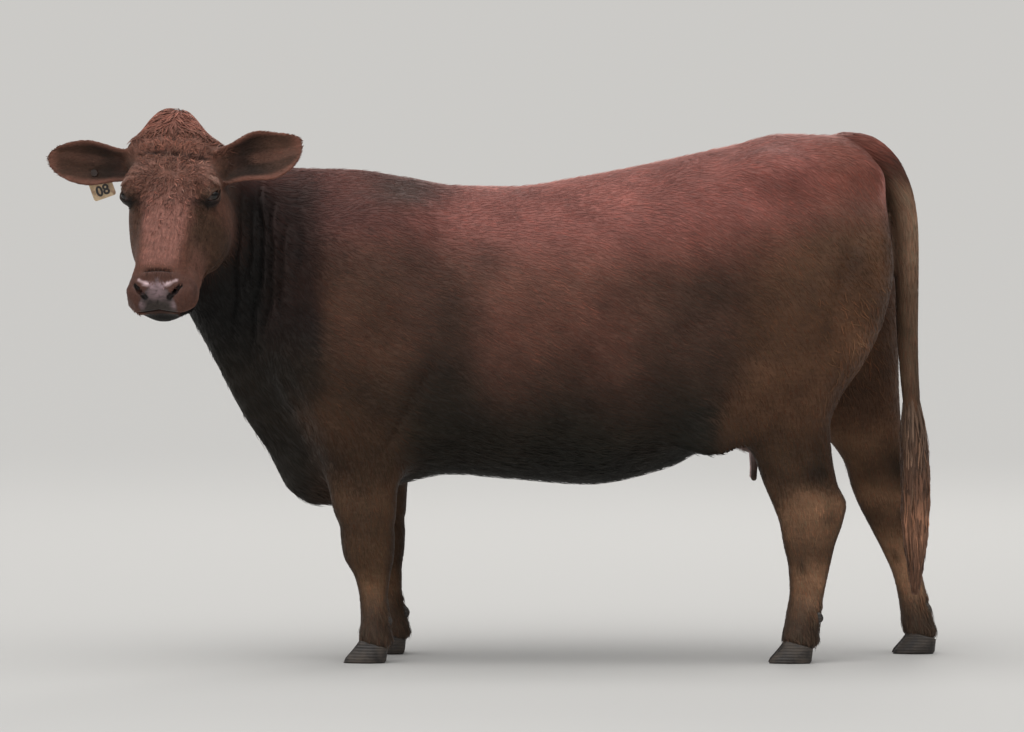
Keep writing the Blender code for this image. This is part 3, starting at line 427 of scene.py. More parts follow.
@dataclass(frozen=True)
class EarPlan:
    """One ear: a cupped leaf, an arc at each place along it."""

    side: int
    sweep: float
    droop: float
    breadth: float
    trim: float  # how much of the lower edge is missing toward the tip
    root: Vec = (-0.1, 0.112, -0.004)
    length: float = 0.262
    sink: float = 0.028
    wall: float = 0.008
    radius: Curve = Curve((0, 0.25, 0.6, 1), (0.032, 0.047, 0.07, 0.056))
    reach: Curve = Curve(
        (0, 0.15, 0.4, 0.6, 0.75, 0.85, 0.92, 0.965, 0.99, 1),
        (2.1, 1.15, 0.95, 0.95, 0.87, 0.73, 0.56, 0.36, 0.18, 0.04),
    )


@dataclass(frozen=True)
class TailPlan:
    """Tail: x, y, z and radius down the dock, then the core inside the switch."""

    stations: tuple[tuple[float, ...], ...] = (
        (0.900, 0.000, 1.310, 0.036),
        (0.942, 0.000, 1.305, 0.038),
        (0.985, 0.000, 1.278, 0.038),
        (1.020, 0.000, 1.230, 0.036),
        (1.043, 0.000, 1.168, 0.034),
        (1.054, 0.000, 1.090, 0.0320),
        (1.057, 0.000, 0.980, 0.0300),
        (1.058, 0.000, 0.860, 0.0275),
        (1.063, 0.000, 0.740, 0.0240),
        (1.070, 0.000, 0.650, 0.0215),
        (1.076, -0.003, 0.560, 0.0170),
        (1.080, -0.005, 0.460, 0.0140),
        (1.080, -0.004, 0.350, 0.0100),
    )


TRUNK, HEAD, TAIL = TrunkPlan(), HeadPlan(), TailPlan()
EARS = (
    EarPlan(-1, math.radians(-2.0), math.radians(-4.0), 1.0, 0.0, length=0.266),
    EarPlan(1, math.radians(38.0), math.radians(-16.5), 1.22, 0.4, length=0.262),
)


def middle_of(*nodes: str) -> Array:
    """Return the middle of the boxes of some nodes of the frame."""
    return np.mean([np.asarray(corner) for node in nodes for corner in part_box(node)], axis=0)


AXES = HEAD.axes()
EYES_PLAN = np.asarray(HEAD.centre) + HEAD.eye[0] * AXES[0] + HEAD.eye[2] * AXES[2]
SHIFT = (middle_of("eye_left", "eye_right") - EYES_PLAN) * (1, 1, 0)  # plan to frame


def to_head(p: Array) -> Array:
    """Turn points of the plan into the head's frame."""
    return (p - np.asarray(HEAD.centre)) @ AXES.T


class Region(Enum):
    """The parts of her that the coat is laid out by."""

    TRUNK = 0
    HEAD = 1
    EAR_RIGHT = 2
    EAR_LEFT = 3
    TAIL = 4
    HIND_LEFT = 5
    HIND_RIGHT = 6
    FORE_LEFT = 7
    FORE_RIGHT = 8


# folds beside the neck: x, depth, width, lowest and highest z
NECK_FOLDS = (
    (-0.650, 0.0130, 0.0070, 0.78, 1.20), (-0.622, 0.0100, 0.0056, 0.88, 1.17),
    (-0.594, 0.0130, 0.0062, 0.74, 1.22), (-0.566, 0.0110, 0.0060, 0.80, 1.18),
    (-0.537, 0.0085, 0.0064, 0.84, 1.14), (-0.503, 0.0050, 0.0090, 0.90, 1.20),
)
# creases across the forehead: place down the face, depth, width
FOREHEAD_CREASES = (
    (-0.147, 0.0060, 0.0075), (-0.089, 0.0070, 0.0048), (-0.072, 0.0030, 0.0040), (-0.104, 0.0026, 0.0036),
)


# ---------------------------------------------------------------- the skin's field


class Body:
    """Her skin as a field over points in the plan's coordinates, negative inside."""

    def __init__(self) -> None:
        """Make the curves that the solids are lofted through."""
        self.trunk_curves = curves(TRUNK.stations)
        self.head_curves = curves(HEAD.stations)
        self.leg_curves = {name: curves(leg.stations) for name, leg in LEGS.items()}
        tail = np.asarray(TAIL.stations)
        knots = np.linspace(0, 1, len(tail))
        fine = np.linspace(0, 1, 30)
        self.tail_line = np.stack([Curve(knots, tail[:, i])(fine) for i in range(4)], 1)

    # ---- trunk

    def along(self, p: Array) -> tuple[Array, Array, Array]:
        """Return distance along the curved axis, distance off it, and how far it has turned.

        Args:
            p: points in the plan's coordinates.

        Returns:
            The three, for each point; the turn is in radians.
        """
        ahead = TRUNK.bend_x - p[:, 0]
        side = p[:, 1] + TRUNK.bend_radius
        turned = np.where(ahead > 0, np.arctan2(ahead, side), 0.0)
        bent = ahead > 0
        u = np.where(bent, TRUNK.bend_radius * turned - TRUNK.bend_x, -p[:, 0])
        off = np.where(bent, np.hypot(ahead, side) - TRUNK.bend_radius, p[:, 1])
        return u, off, turned

    def trunk(self, p: Array) -> Array:
        """Barrel, rump, chest and neck with their lumps.

        Args:
            p: points in the plan's coordinates.

        Returns:
            The field at each point.
        """
        u, off, _ = self.along(p)
        top, bottom, half_width, widest, upper, lower = (f(u) for f in self.trunk_curves)
        up = p[:, 2] - widest
        half_height = np.where(up > 0, top - widest, widest - bottom)
        side = oval(off, up, half_width, half_height, np.where(up > 0, upper, lower))
        body = shared(side, np.maximum(u - TRUNK.ends[1], TRUNK.ends[0] - u), 0.05)
        both = mirrored(p)
        for centre, radii, lean, blend in TRUNK.lumps:
            body = joined(body, ellipsoid(both, centre, radii, lean), blend)
        return body

    def underside(self, p: Array, body: Array) -> Array:
        """Add flank folds, udder and teats.

        Args:
            p: points in the plan's coordinates.
            body: the field so far.

        Returns:
            The field at each point.
        """
        both = mirrored(p)
        centre, radii, lean, blend = TRUNK.flank
        body = joined(body, ellipsoid(both, centre, radii, lean), blend)
        centre, radii, lean, blend = TRUNK.udder
        bag = ellipsoid(p, centre, radii, lean)
        bag = bag + 0.009 * bell(p[:, 1], 0.012) + 0.005 * bell(p[:, 0] - 0.708, 0.012)
        body = joined(body, bag, blend)
        high, low = TRUNK.teat_heights
        for x, y in TRUNK.teats:
            teat = bar(both, (x, -y, high), (x - 0.004, -y, low), *TRUNK.teat_radii)
            body = joined(body, teat, 0.014)
        return body

    def leg(self, p: Array, name: str) -> Array:
        """One leg: ovals lofted down its height, cut off at the slanting coronet.

        Args:
            p: points in the plan's coordinates.
            name: which leg.

        Returns:
            The field at each point.
        """
        plan = LEGS[name]
        front, rear, inner, outer = (f(p[:, 2]) for f in self.leg_curves[name])
        x = p[:, 0] - (front + rear) / 2
        y = p[:, 1] * plan.side - (inner + outer) / 2
        half_x, half_y = (rear - front) / 2, (outer - inner) / 2
        ahead, beside = x / half_x, np.abs(y) / half_y
        wall = oval(x, y, half_x, half_y, ROUNDNESS)
        z = p[:, 2]
        # tendons: a groove down each side of the cannon, behind the bone
        hind = name.startswith("hind")
        cannon = ease(0.13, 0.17, z) * fall(0.26 if hind else 0.24, 0.32, z)
        groove = 0.0045 * bell(ahead - 0.12, 0.22) * ease(0.5, 0.9, beside)
        wall += cannon * groove
        # the hollow between hamstring and shin above the hock, and creases over the joints
        if hind:
            hollow = ease(0.39, 0.45, z) * fall(0.52, 0.62, z)
            wall += 0.01 * hollow * bell(ahead - 0.42, 0.2) * ease(0.4, 0.9, beside)
            bone = bell(z - 0.405, 0.035) * bell(ahead, 0.34) * ease(0.5, 0.9, beside)
            bone += 0.9 * bell(z - 0.4, 0.026) * bell(ahead - 0.86, 0.22)
            wall += 0.0045 * bell(z - 0.372, 0.016) * bell(ahead - 0.52, 0.2)
            wall = wall - 0.005 * bone + 0.004 * bell(z - 0.335, 0.022) * bell(ahead - 0.3, 0.35)
        else:
            bone = bell(z - 0.395, 0.03) * ease(0.2, 0.8, -ahead)
            wall = wall - 0.003 * bone + 0.0035 * bell(z - 0.345, 0.018) * ease(0.0, 0.7, np.abs(ahead))
        fold = bell(z - 0.128, 0.006) * ease(0.0, 0.8, ahead)
        wall += 0.0035 * fold
        cleft = bell(y, 0.007) * fall(0.055, 0.11, z)
        wall += 0.008 * cleft * ease(0.3, 0.8, np.abs(ahead))
        ends = np.maximum(z - plan.stations[0][0], LEG_END - z)
        wall = shared(wall, ends, 0.03)
        share = (p[:, 0] - plan.toe_x) / CLAW_LENGTH
        rim = HOOF_HEIGHT + (HEEL_HEIGHT - HOOF_HEIGHT) * share
        wall = wall + 0.005 * fall(0.0, 0.03, z - rim) - 0.0022 * bell(z - rim - 0.022, 0.012)
        coronet = HOOF_HEIGHT - 0.006 + (HEEL_HEIGHT - HOOF_HEIGHT) * share
        return shared(wall, coronet - z, 0.004)

    # ---- head

    def head(self, p: Array) -> Array:
        """Skull, cheeks, jaw, lids, nostrils and lips.

        Args:
            p: points in the plan's coordinates.

        Returns:
            The field at each point.
        """
        q = to_head(p)
        rise = ease(0, 1, (HEAD.poll_lean_start - q[:, 0]) / (HEAD.poll_lean_start - HEAD.ends[0]))
        q[:, 1] += HEAD.poll_lean * rise
        top, bottom, half_width, widest = (f(q[:, 0]) for f in self.head_curves)
        up = q[:, 2] - widest
        half_height = np.where(up > 0, top - widest, widest - bottom)
        side = oval(q[:, 1], up, half_width, half_height, HEAD.roundness)
        solid = shared(side, np.maximum(q[:, 0] - HEAD.ends[1], HEAD.ends[0] - q[:, 0]), 0.03)
        raw = q[:, 1].copy()
        q[:, 1] = np.abs(q[:, 1])
        for centre, radii, blend in HEAD.lumps:
            solid = joined(solid, ellipsoid(q, centre, radii), blend)
        return self.muzzle(q, raw, self.eye_region(q, solid))

    def eye_region(self, q: Array, solid: Array) -> Array:
        """Temples, lids, the opening between them, and the tear groove.

        Args:
            q: points in the head's frame, her right side folded over her left.
            solid: the field so far.

        Returns:
            The field at each point.
        """
        solid = cut(solid, ellipsoid(q, (-0.068, 0.142, 0.03), (0.044, 0.02, 0.026)), 0.024)
        solid = cut(solid, bar(q, (0.04, 0.08, 0.054), (0.07, 0.072, 0.044), 0.008, 0.004), 0.014)
        w = q - np.asarray(HEAD.eye)
        out = unit(np.asarray(HEAD.eye_axis))
        corner = np.asarray(HEAD.eye_slant)
        corner = unit(corner - out * (corner @ out))
        up = np.cross(corner, out)
        up = up if up[0] < 0 else -up
        ahead, high, depth = w @ corner, w @ up, w @ out
        away = norm(w)
        solid = joined(solid, away - (HEAD.eye_radius + HEAD.lid_thickness), 0.016)
        ridge = bar(q, (-0.016, 0.082, 0.062), (-0.01, 0.116, 0.044), 0.0075, 0.007)
        solid = joined(solid, ridge, 0.016)
        share = 1 - (ahead / HEAD.eye_width) ** 2
        upper, lower = HEAD.lid_heights
        opening = np.where(high > 0, high - upper * share, -high - lower * share)
        front = ease(0.0, 0.012, depth) * bell(away, 0.036)
        solid -= 0.0016 * bell(opening - 0.003, 0.0024) * front
        crease = bell(opening - 0.0085, 0.0024) + 0.6 * bell(opening - 0.0155, 0.0028)
        crease *= (0.4 + 0.6 * (high > 0))
        solid += 0.0026 * crease * front
        solid -= 0.0022 * bell(opening - 0.012, 0.0026) * front * (high > 0)
        slit = np.maximum(opening, 0.004 - depth)
        return cut(solid, slit, 0.0018)

    def muzzle(self, q: Array, raw: Array, solid: Array) -> Array:
        """Nose crease, the pad and its wings, nostrils, mouth, chin and the forehead's creases.

        Args:
            q: points in the head's frame, her right side folded over her left.
            raw: how far to her left they were before that.
            solid: the field so far.

        Returns:
            The field at each point.
        """
        a, s, b = q.T
        bridge = ease(-0.01, 0.015, b)
        crease = a - 0.232 - 1.1 * s * s
        solid += 0.0085 * bell(crease, 0.0036) * bridge * fall(0.022, 0.044, s)
        solid -= 0.0035 * bell(crease - 0.01, 0.006) * bridge * fall(0.026, 0.05, s)
        solid = joined(solid, bar(q, (0.256, 0.047, 0.012), (0.268, 0.02, 0.0125), 0.0064, 0.0062), 0.008)
        solid = joined(solid, bar(q, (0.268, 0.072, -0.012), (0.298, 0.052, -0.018), 0.0125, 0.0105), 0.012)
        hole = joined(
            bar(q, (0.264, 0.058, 0.008), (0.277, 0.047, 0.006), 0.003, 0.0055),
            bar(q, (0.277, 0.047, 0.006), (0.292, 0.031, -0.002), 0.0055, 0.005),
            0.005,
        )
        hole = joined(hole, bar(q, (0.28, 0.044, 0.002), (0.252, 0.034, -0.024), 0.006, 0.005), 0.004)
        solid = cut(solid, hole, 0.003)
        solid += 0.0024 * bell(s, 0.0035) * ease(0.275, 0.295, a) * ease(-0.05, -0.025, b)
        line = b + 0.041 + 0.3 * (0.305 - a) + 0.012 * ease(0.03, 0.08, s)
        chin = fall(-0.02, 0.004, line)
        solid += 0.002 * chin * ease(0.255, 0.3, a)
        solid = joined(solid, ellipsoid(q, (0.282, 0.002, -0.074), (0.033, 0.04, 0.025)), 0.02)
        mouth = np.maximum(np.maximum(np.abs(line) - 0.0012, -(solid + 0.0085)), 0.15 - a)
        solid = cut(solid, mouth, 0.004)
        lip = 0.0032 * bell(line - 0.009, 0.006) + 0.003 * bell(line + 0.01, 0.006)
        solid -= lip * ease(0.17, 0.21, a)
        plane = ease(0.045, 0.085, a) * fall(0.19, 0.225, a) * ease(-0.075, -0.02, b)
        solid += 0.006 * plane * bell(s - 0.078, 0.014)
        solid -= 0.0026 * plane * bell(s - 0.05, 0.008)
        across = fall(0.075, 0.105, s)
        for at, depth, width in FOREHEAD_CREASES:
            wiggle = 0.004 * np.sin(raw * 95.0 + at * 40.0) + 0.0022 * np.sin(raw * 210.0 + at * 90.0)
            fold = a - at - 0.11 * raw - wiggle
            uneven = 0.65 + 0.35 * np.sin(raw * 130.0 + at * 70.0)
            solid += depth * uneven * bell(fold, width) * across * ease(0.0, 0.03, b)
        solid -= 0.003 * bell(a + 0.122, 0.014) * across * ease(0.0, 0.03, b)
        jaw = 0.004 * bell(b + 0.118 + 0.1 * (a - 0.1), 0.01) * ease(0.06, 0.1, a)
        return solid + jaw * fall(0.19, 0.22, a)

    def ear_place(self, p: Array, ear: EarPlan) -> tuple[Array, ...]:
        """Return share of the ear's length, angle round its cup, and distance out of the cup.

        Args:
            p: points in the plan's coordinates.
            ear: the ear.

        Returns:
            The three, for each point.
        """
        root, along, across, facing = ear_frame(ear)
        w = p - root
        t = (w @ along + ear.sink) / ear.length
        radius = ear.radius(t) * ear.breadth
        high = w @ facing - (radius * 0.55 + 0.012 * t * t)
        wide = w @ across
        return t, np.arctan2(wide, -high), np.hypot(wide, high) - radius

    def ear(self, p: Array, ear: EarPlan) -> Array:
        """One ear: a thin cupped leaf with ribs of gristle inside.

        Args:
            p: points in the plan's coordinates.
            ear: the ear.

        Returns:
            The field at each point.
        """
        t, angle, rise = self.ear_place(p, ear)
        radius = ear.radius(t) * ear.breadth
        wall = ear.wall / 2 * (1 - 0.35 * t)
        ribs = 0.0016 * np.cos(angle * 8.0) * ease(0.1, 0.3, t) * fall(0.6, 0.9, t)
        shell = np.abs(rise) - wall - np.where(rise < 0, ribs, 0.0)
        rim = (np.abs(angle) - self.ear_reach(ear, t, angle)) * radius
        ends = np.maximum(t - 1.0, 0.02 - t) * ear.length
        return shared(shared(shell, rim, 0.006), ends, 0.004)

    def ear_reach(self, ear: EarPlan, t: Array, angle: Array) -> Array:
        """How far round the cup an ear reaches: less on its lower edge where it is trimmed."""
        lower = ease(-0.1, 0.3, angle * ear.side)
        return ear.reach(t) * (1 - ear.trim * lower * ease(0.3, 0.85, t))

    def tail(self, p: Array) -> Array:
        """The tail: bars end to end."""
        out = np.full(len(p), FAR)
        line = self.tail_line
        for first, second in zip(line[:-1], line[1:]):
            out = np.minimum(out, bar(p, first[:3], second[:3], first[3] - 0.0015, second[3] - 0.0015))
        return out

    # ---- the whole

    def folds(self, p: Array) -> Array:
        """Upright folds on the hollow side of the bent neck, ridges between them."""
        x, y, z = p.T
        left = ease(-0.03, -0.1, y)
        depth = np.zeros(len(p))
        for at, deep, wide, low, high in NECK_FOLDS:
            wander = 0.004 * np.sin(z * 21.0 + at * 60.0) + 0.0025 * np.sin(z * 47.0 + at * 90.0)
            line = x - at - 0.05 * (z - 1.0) + 0.25 * (z - 1.03) ** 2 + wander
            tall = ease(low, low + 0.12, z) * fall(high - 0.1, high + 0.04, z) * left
            depth += 0.7 * deep * bell(line, wide) * tall
            depth -= 0.3 * deep * bell(line - 2.0 * wide, wide * 1.2) * tall
        return depth

    def relief(self, p: Array) -> Array:
        """Folds of loose skin and the lines of muscles, as a depth to press in.

        Args:
            p: points in the plan's coordinates.

        Returns:
            The depth at each point.
        """
        x, y, z = p.T
        depth = self.folds(p)
        # dewlap: very soft folds slanting down to the brisket
        chest = ease(-0.38, -0.5, x) * fall(0.8, 0.92, z) * ease(0.42, 0.5, z)
        slant = z - 0.62 - 0.55 * (x + 0.55)
        depth += 0.0014 * chest * np.cos(slant * 95.0) * ease(0.02, 0.1, np.abs(y))
        # hollow behind the shoulder blade, flank hollow below the loin, elbow
        m = np.abs(y)
        flank_side = ease(0.1, 0.18, m)
        depth += 0.01 * bell(x + 0.115 + 0.15 * (z - 0.9), 0.04) * flank_side * (
            ease(0.58, 0.72, z) * fall(1.06, 1.18, z)
        )
        depth += 0.012 * bell(np.hypot((x - 0.545) / 0.1, (z - 1.065) / 0.11), 0.75) * flank_side
        depth += 0.01 * bell(x + 0.235 - 0.5 * (z - 0.62), 0.016) * ease(0.14, 0.2, m) * (
            ease(0.5, 0.56, z) * fall(0.7, 0.82, z)
        )
        # the forearm stands clear of the chest in front of it
        front = x + 0.475 - 0.42 * (0.62 - z)
        depth += 0.01 * bell(front, 0.022) * ease(0.1, 0.16, m) * (
            ease(0.44, 0.52, z) * fall(0.68, 0.8, z)
        )
        # ribs show very faintly
        ribs = ease(-0.06, 0.02, x) * fall(0.36, 0.46, x) * flank_side
        ribs = ribs * ease(0.62, 0.72, z) * fall(0.98, 1.1, z)
        depth += 0.001 * ribs * np.cos((x + 0.25 * z) * 2 * math.pi / 0.062)
        # seam between the muscles of the thigh, and stifle
        seam = x - 0.905 + 0.28 * (1.05 - z)
        thigh = ease(0.66, 0.76, z) * fall(1.06, 1.16, z) * ease(0.12, 0.2, m)
        depth += 0.0075 * bell(seam, 0.022) * thigh
        knee = spot(x - 0.64, z - 0.7, 0.055, 0.07) * ease(0.16, 0.22, m)
        depth -= 0.008 * knee
        # loose creases behind the right stifle
        loose = ease(0.06, 0.12, y) * ease(0.86, 0.92, x) * fall(1.02, 1.06, x)
        for at in (0.615, 0.592, 0.566):
            depth += 0.0035 * bell(z - at - 0.1 * (x - 0.95), 0.006) * loose
        # a furrow down the back
        back = ease(1.0, 1.1, z) * ease(-0.3, -0.1, x) * fall(0.86, 0.94, x)
        return depth + 0.0035 * back * bell(y, 0.02)

    def coat_depth(self, p: Array) -> Array:
        """How far the skin lies inside the coat's outline: least where she is bare.

        Args:
            p: points in the plan's coordinates.

        Returns:
            The depth at each point.
        """
        z = p[:, 2]
        q = to_head(p)
        a, m, b = q[:, 0], np.abs(q[:, 1]), q[:, 2]
        in_head = ease(0.35, 0.75, bell(norm(q * (0.9, 1.3, 1.0)), 0.36))
        body = 0.0045 - 0.0015 * fall(0.3, 0.6, z)
        depth = body + (0.0026 - body) * in_head
        poll = ease(-0.13, -0.2, a) * fall(0.26, 0.32, np.abs(a)) * fall(0.1, 0.14, m)
        depth += 0.008 * poll * in_head
        pad = ease(0.225, 0.245, a) * in_head
        eye = norm(np.stack([a, m, b], 1) - np.asarray(HEAD.eye))
        bare = np.maximum(pad * 0.85, fall(0.03, 0.05, eye))
        bag = fall(0.0, 0.05, ellipsoid(p, *TRUNK.udder[:2]))
        bare = np.maximum(bare, bag * fall(0.55, 0.62, z))
        return depth * (1 - bare)

    def parts(self, p: Array) -> dict[Region, Array]:
        """Return the field of each region's solid, before they are joined."""
        x_low, x_high = -1.3, 1.3
        out = {
            Region.TRUNK: near(p, (x_low, -0.6, 0.28), (x_high, 0.6, 1.6), self.trunk),
            Region.HEAD: near(p, (-1.06, -0.66, 0.78), (-0.54, -0.04, 1.5), self.head),
            Region.TAIL: near(p, (0.84, -0.1, 0.3), (1.2, 0.1, 1.42), self.tail),
        }
        for region, ear in ((Region.EAR_RIGHT, EARS[0]), (Region.EAR_LEFT, EARS[1])):
            root, along, _, _ = ear_frame(ear)
            ends = np.stack([root, root + along * ear.length])
            low, high = ends.min(0) - 0.12, ends.max(0) + 0.12
            out[region] = near(p, tuple(low), tuple(high), lambda q, e=ear: self.ear(q, e))
        for name, plan in LEGS.items():
            low_y, high_y = sorted((plan.side * -0.05, plan.side * 0.42))
            low, high = (plan.reach[0], low_y, -0.05), (plan.reach[1], high_y, plan.top)
            out[Region[name.upper()]] = near(p, low, high, lambda q, n=name: self.leg(q, n))
        return out

    def skin(self, p: Array) -> Array:
        """The whole skin: the solids joined, pressed by the relief and drawn in by the coat.

        Args:
            p: points in the plan's coordinates.

        Returns:
            The field at each point.
        """
        parts = self.parts(p)
        body = parts[Region.TRUNK]
        for name, plan in LEGS.items():
            body = joined(body, parts[Region[name.upper()]], plan.blend)
        body = self.underside(p, body) + self.relief(p)
        body = joined(body, parts[Region.HEAD], 0.045) + self.coat_depth(p)
        body = joined(body, parts[Region.TAIL], 0.02)
        for region in (Region.EAR_RIGHT, Region.EAR_LEFT):
            body = joined(body, parts[region], 0.014)
        return body


def ear_frame(ear: EarPlan) -> tuple[Array, Array, Array, Array]:
    """Return an ear's root, and unit vectors along it, across it and out of its opening.

    Args:
        ear: the ear.

    Returns:
        The root, then the three unit vectors, in the plan's coordinates.
    """
    place = np.array([ear.root[0], ear.side * ear.root[1], ear.root[2]])
    root = np.asarray(HEAD.centre) + place @ AXES
    lateral = ear.side * AXES[1]
    back = np.array([math.sin(HEAD.yaw), math.cos(HEAD.yaw), 0.0])
    up = np.array([0.0, 0.0, 1.0])
    along = math.cos(ear.sweep) * lateral + math.sin(ear.sweep) * back
    along = along * math.cos(ear.droop) - up * math.sin(ear.droop)
    facing = -back + along * (along @ back)
    tilt = -0.1 * up
    facing = unit(facing + tilt - along * (along @ tilt))
    return root, along, np.cross(facing, along), facing


# ---------------------------------------------------------------- drawing the surface


@dataclass(frozen=True)
class Lattice:
    """A lattice that is fine round the head and opens out with distance from it."""

    centre: Vec = (-0.815, -0.385, 1.14)
    fine: float = 0.0026
    coarse: float = 0.009
    fine_cells: float = 105.0
    open_cells: float = 175.0
    block: int = 4

    def stretch(self, cells: Array) -> Array:
        """Metres from the centre for a distance in cells: even, then a parabola, then even."""
        over = np.clip(cells - self.fine_cells, 0, None)
        span = self.open_cells - self.fine_cells
        bent = np.where(over < span, over**2 / (2 * span), over - span / 2)
        return self.fine * cells + (self.coarse - self.fine) * bent

    def place(self, cells: Array) -> Array:
        """Turn lattice places into points in metres."""
        reach = np.maximum(norm(cells), 1e-6)
        return np.asarray(self.centre) + cells * (self.stretch(reach) / reach)[:, None]

    def cells_of(self, p: Array) -> Array:
        """Turn points in metres into lattice places."""
        table = np.linspace(0, 700, 3000)
        w = p - np.asarray(self.centre)
        reach = np.maximum(norm(w), 1e-9)
        return w * (np.interp(reach, self.stretch(table), table) / reach)[:, None]

    def scale(self, cells: Array) -> Array:
        """Metres a cell spans at most, at lattice places."""
        reach = norm(cells)
        return self.stretch(reach + 0.5) - self.stretch(np.maximum(reach - 0.5, 0))

    def surface(self, solid: Solid, low: Vec, high: Vec) -> tuple[Array, Array]:
        """Return the points and quads of a field's zero level in a box.

        The field is worked out at the middle of blocks of cells, then at every corner of the
        blocks near the surface. Each cell that the surface crosses gets one point, the mean
        of the crossings on its edges; each crossed edge gets a quad of the four cells round it.

        Args:
            solid: the field.
            low: the box's lowest corner.
            high: its highest corner.

        Returns:
            The points, and four of them for each quad.
        """
        sides = [np.linspace(low[i], high[i], 14) for i in range(3)]
        shell = np.stack(np.meshgrid(*sides, indexing="ij"), -1).reshape(-1, 3)
        reach = self.cells_of(shell)
        start = np.floor(reach.min(0)).astype(int) - 1
        blocks = (np.ceil((reach.max(0) - start) / self.block)).astype(int) + 1
        middles = np.stack(
            np.meshgrid(*(np.arange(n) for n in blocks), indexing="ij"), -1
        ).reshape(-1, 3)
        middles = middles * self.block + self.block / 2 + start
        value = solid(self.place(middles))
        limit = self.scale(middles) * self.block * 1.15 + 0.004
        active = (np.abs(value) < limit).reshape(blocks)
        inside = (value < 0).reshape(blocks)
        values = np.where(inside, -1.0, 1.0).astype(np.float32)
        for axis in range(3):
            values = np.repeat(values, self.block, axis=axis)
        wanted = np.zeros(values.shape, bool)
        bi, bj, bk = np.nonzero(active)
        span = np.arange(self.block + 1)
        for i in span:
            for j in span:
                for k in span:
                    at = (bi * self.block + i, bj * self.block + j, bk * self.block + k)
                    at = tuple(np.minimum(at[n], values.shape[n] - 1) for n in range(3))
                    wanted[at] = True
        corners = np.stack(np.nonzero(wanted), 1)
        for part in np.array_split(np.arange(len(corners)), max(1, len(corners) // 250_000)):
            some = corners[part]
            values[tuple(some.T)] = solid(self.place(some + start))
        log.info("lattice %s, %d corners worked out", values.shape, len(corners))
        return self.nets(values, start)

    def nets(self, values: Array, start: Array) -> tuple[Array, Array]:
        """Link the crossings of a filled lattice into points and quads.

        Args:
            values: the field at each corner.
            start: the lattice place of the first.

        Returns:
            The points, and four of them for each quad.
        """
        shape = np.array(values.shape)
        below = values < 0
        places, cells, quads = [], [], []
        strides = np.array([shape[1] * shape[2], shape[2], 1])
        for axis in range(3):
            first = [slice(1, -1)] * 3
            second = [slice(1, -1)] * 3
            first[axis], second[axis] = slice(1, -2), slice(2, -1)
            here, there = below[tuple(first)], below[tuple(second)]
            at = np.stack(np.nonzero(here != there), 1) + 1
            step = np.zeros(3, int)
            step[axis] = 1
            a = values[tuple(at.T)]
            b = values[tuple((at + step).T)]
            place = at.astype(float)
            place[:, axis] += a / (a - b)
            others = [(axis + 1) % 3, (axis + 2) % 3]
            ring = []
            for da, db in ((0, 0), (-1, 0), (-1, -1), (0, -1)):
                cell = at.copy()
                cell[:, others[0]] += da
                cell[:, others[1]] += db
                ring.append(cell @ strides)
            ring = np.stack(ring, 1)
            ring[a > 0] = ring[a > 0][:, ::-1]
            quads.append(ring)
            cells.append(ring.reshape(-1))
            places.append(np.repeat(place, 4, axis=0))
        cells, places = np.concatenate(cells), np.concatenate(places)
        _, number = np.unique(cells, return_inverse=True)
        count = np.bincount(number)
        mean = np.stack([np.bincount(number, places[:, i]) / count for i in range(3)], 1)
        return self.place(mean + start), number.reshape(-1, 4)


# ---------------------------------------------------------------- meshes


def new_mesh(name: str, points: Array, faces: Array) -> Mesh:
    """Make a mesh from points and faces of one size, all at once.

    Args:
        name: the mesh's name.
        points: its points.
        faces: the points of each face, as whole numbers.

    Returns:
        The mesh, shaded smooth.
    """
    mesh = bpy.data.meshes.new(name)
    size = faces.shape[1]
    mesh.vertices.add(len(points))
    mesh.vertices.foreach_set("co", np.ascontiguousarray(points, np.float32).ravel())
    mesh.loops.add(faces.size)
    mesh.loops.foreach_set("vertex_index", np.ascontiguousarray(faces, np.int32).ravel())
    mesh.polygons.add(len(faces))
    mesh.polygons.foreach_set("loop_start", np.arange(0, faces.size, size, dtype=np.int32))
    mesh.update(calc_edges=True)
    mesh.shade_smooth()
    return mesh


def paint(mesh: Mesh, name: str, colours: Array) -> None:
    """Store a colour for each vertex."""
    layer = mesh.color_attributes.new(name, "FLOAT_COLOR", "POINT")
    full = np.ones((len(colours), 4), np.float32)
    full[:, :3] = colours
    layer.data.foreach_set("color", full.ravel())


def placed(name: str, data: ID) -> Object:
    """Put an object in the scene."""
    thing = bpy.data.objects.new(name, data)
    bpy.context.scene.collection.objects.link(thing)
    return thing


def add_piece(name: str, mesh: Mesh, material: Material, slot: str, *nodes: str) -> Object:
    """Put a finished piece in the scene, riding on the root, in place of some nodes.

    Args:
        name: the piece's name.
        mesh: its mesh, in the frame's coordinates.
        material: its finish.
        slot: not used.
        *nodes: the nodes it stands for.

    Returns:
        The object.
    """
    piece = placed(name, mesh)
    mesh.materials.clear()
    mesh.materials.append(material)
    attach(piece, ROOT)
    if nodes:
        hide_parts(*nodes)
    log.info("%s: %d faces", name, len(mesh.polygons))
    return piece


# ---------------------------------------------------------------- finishes


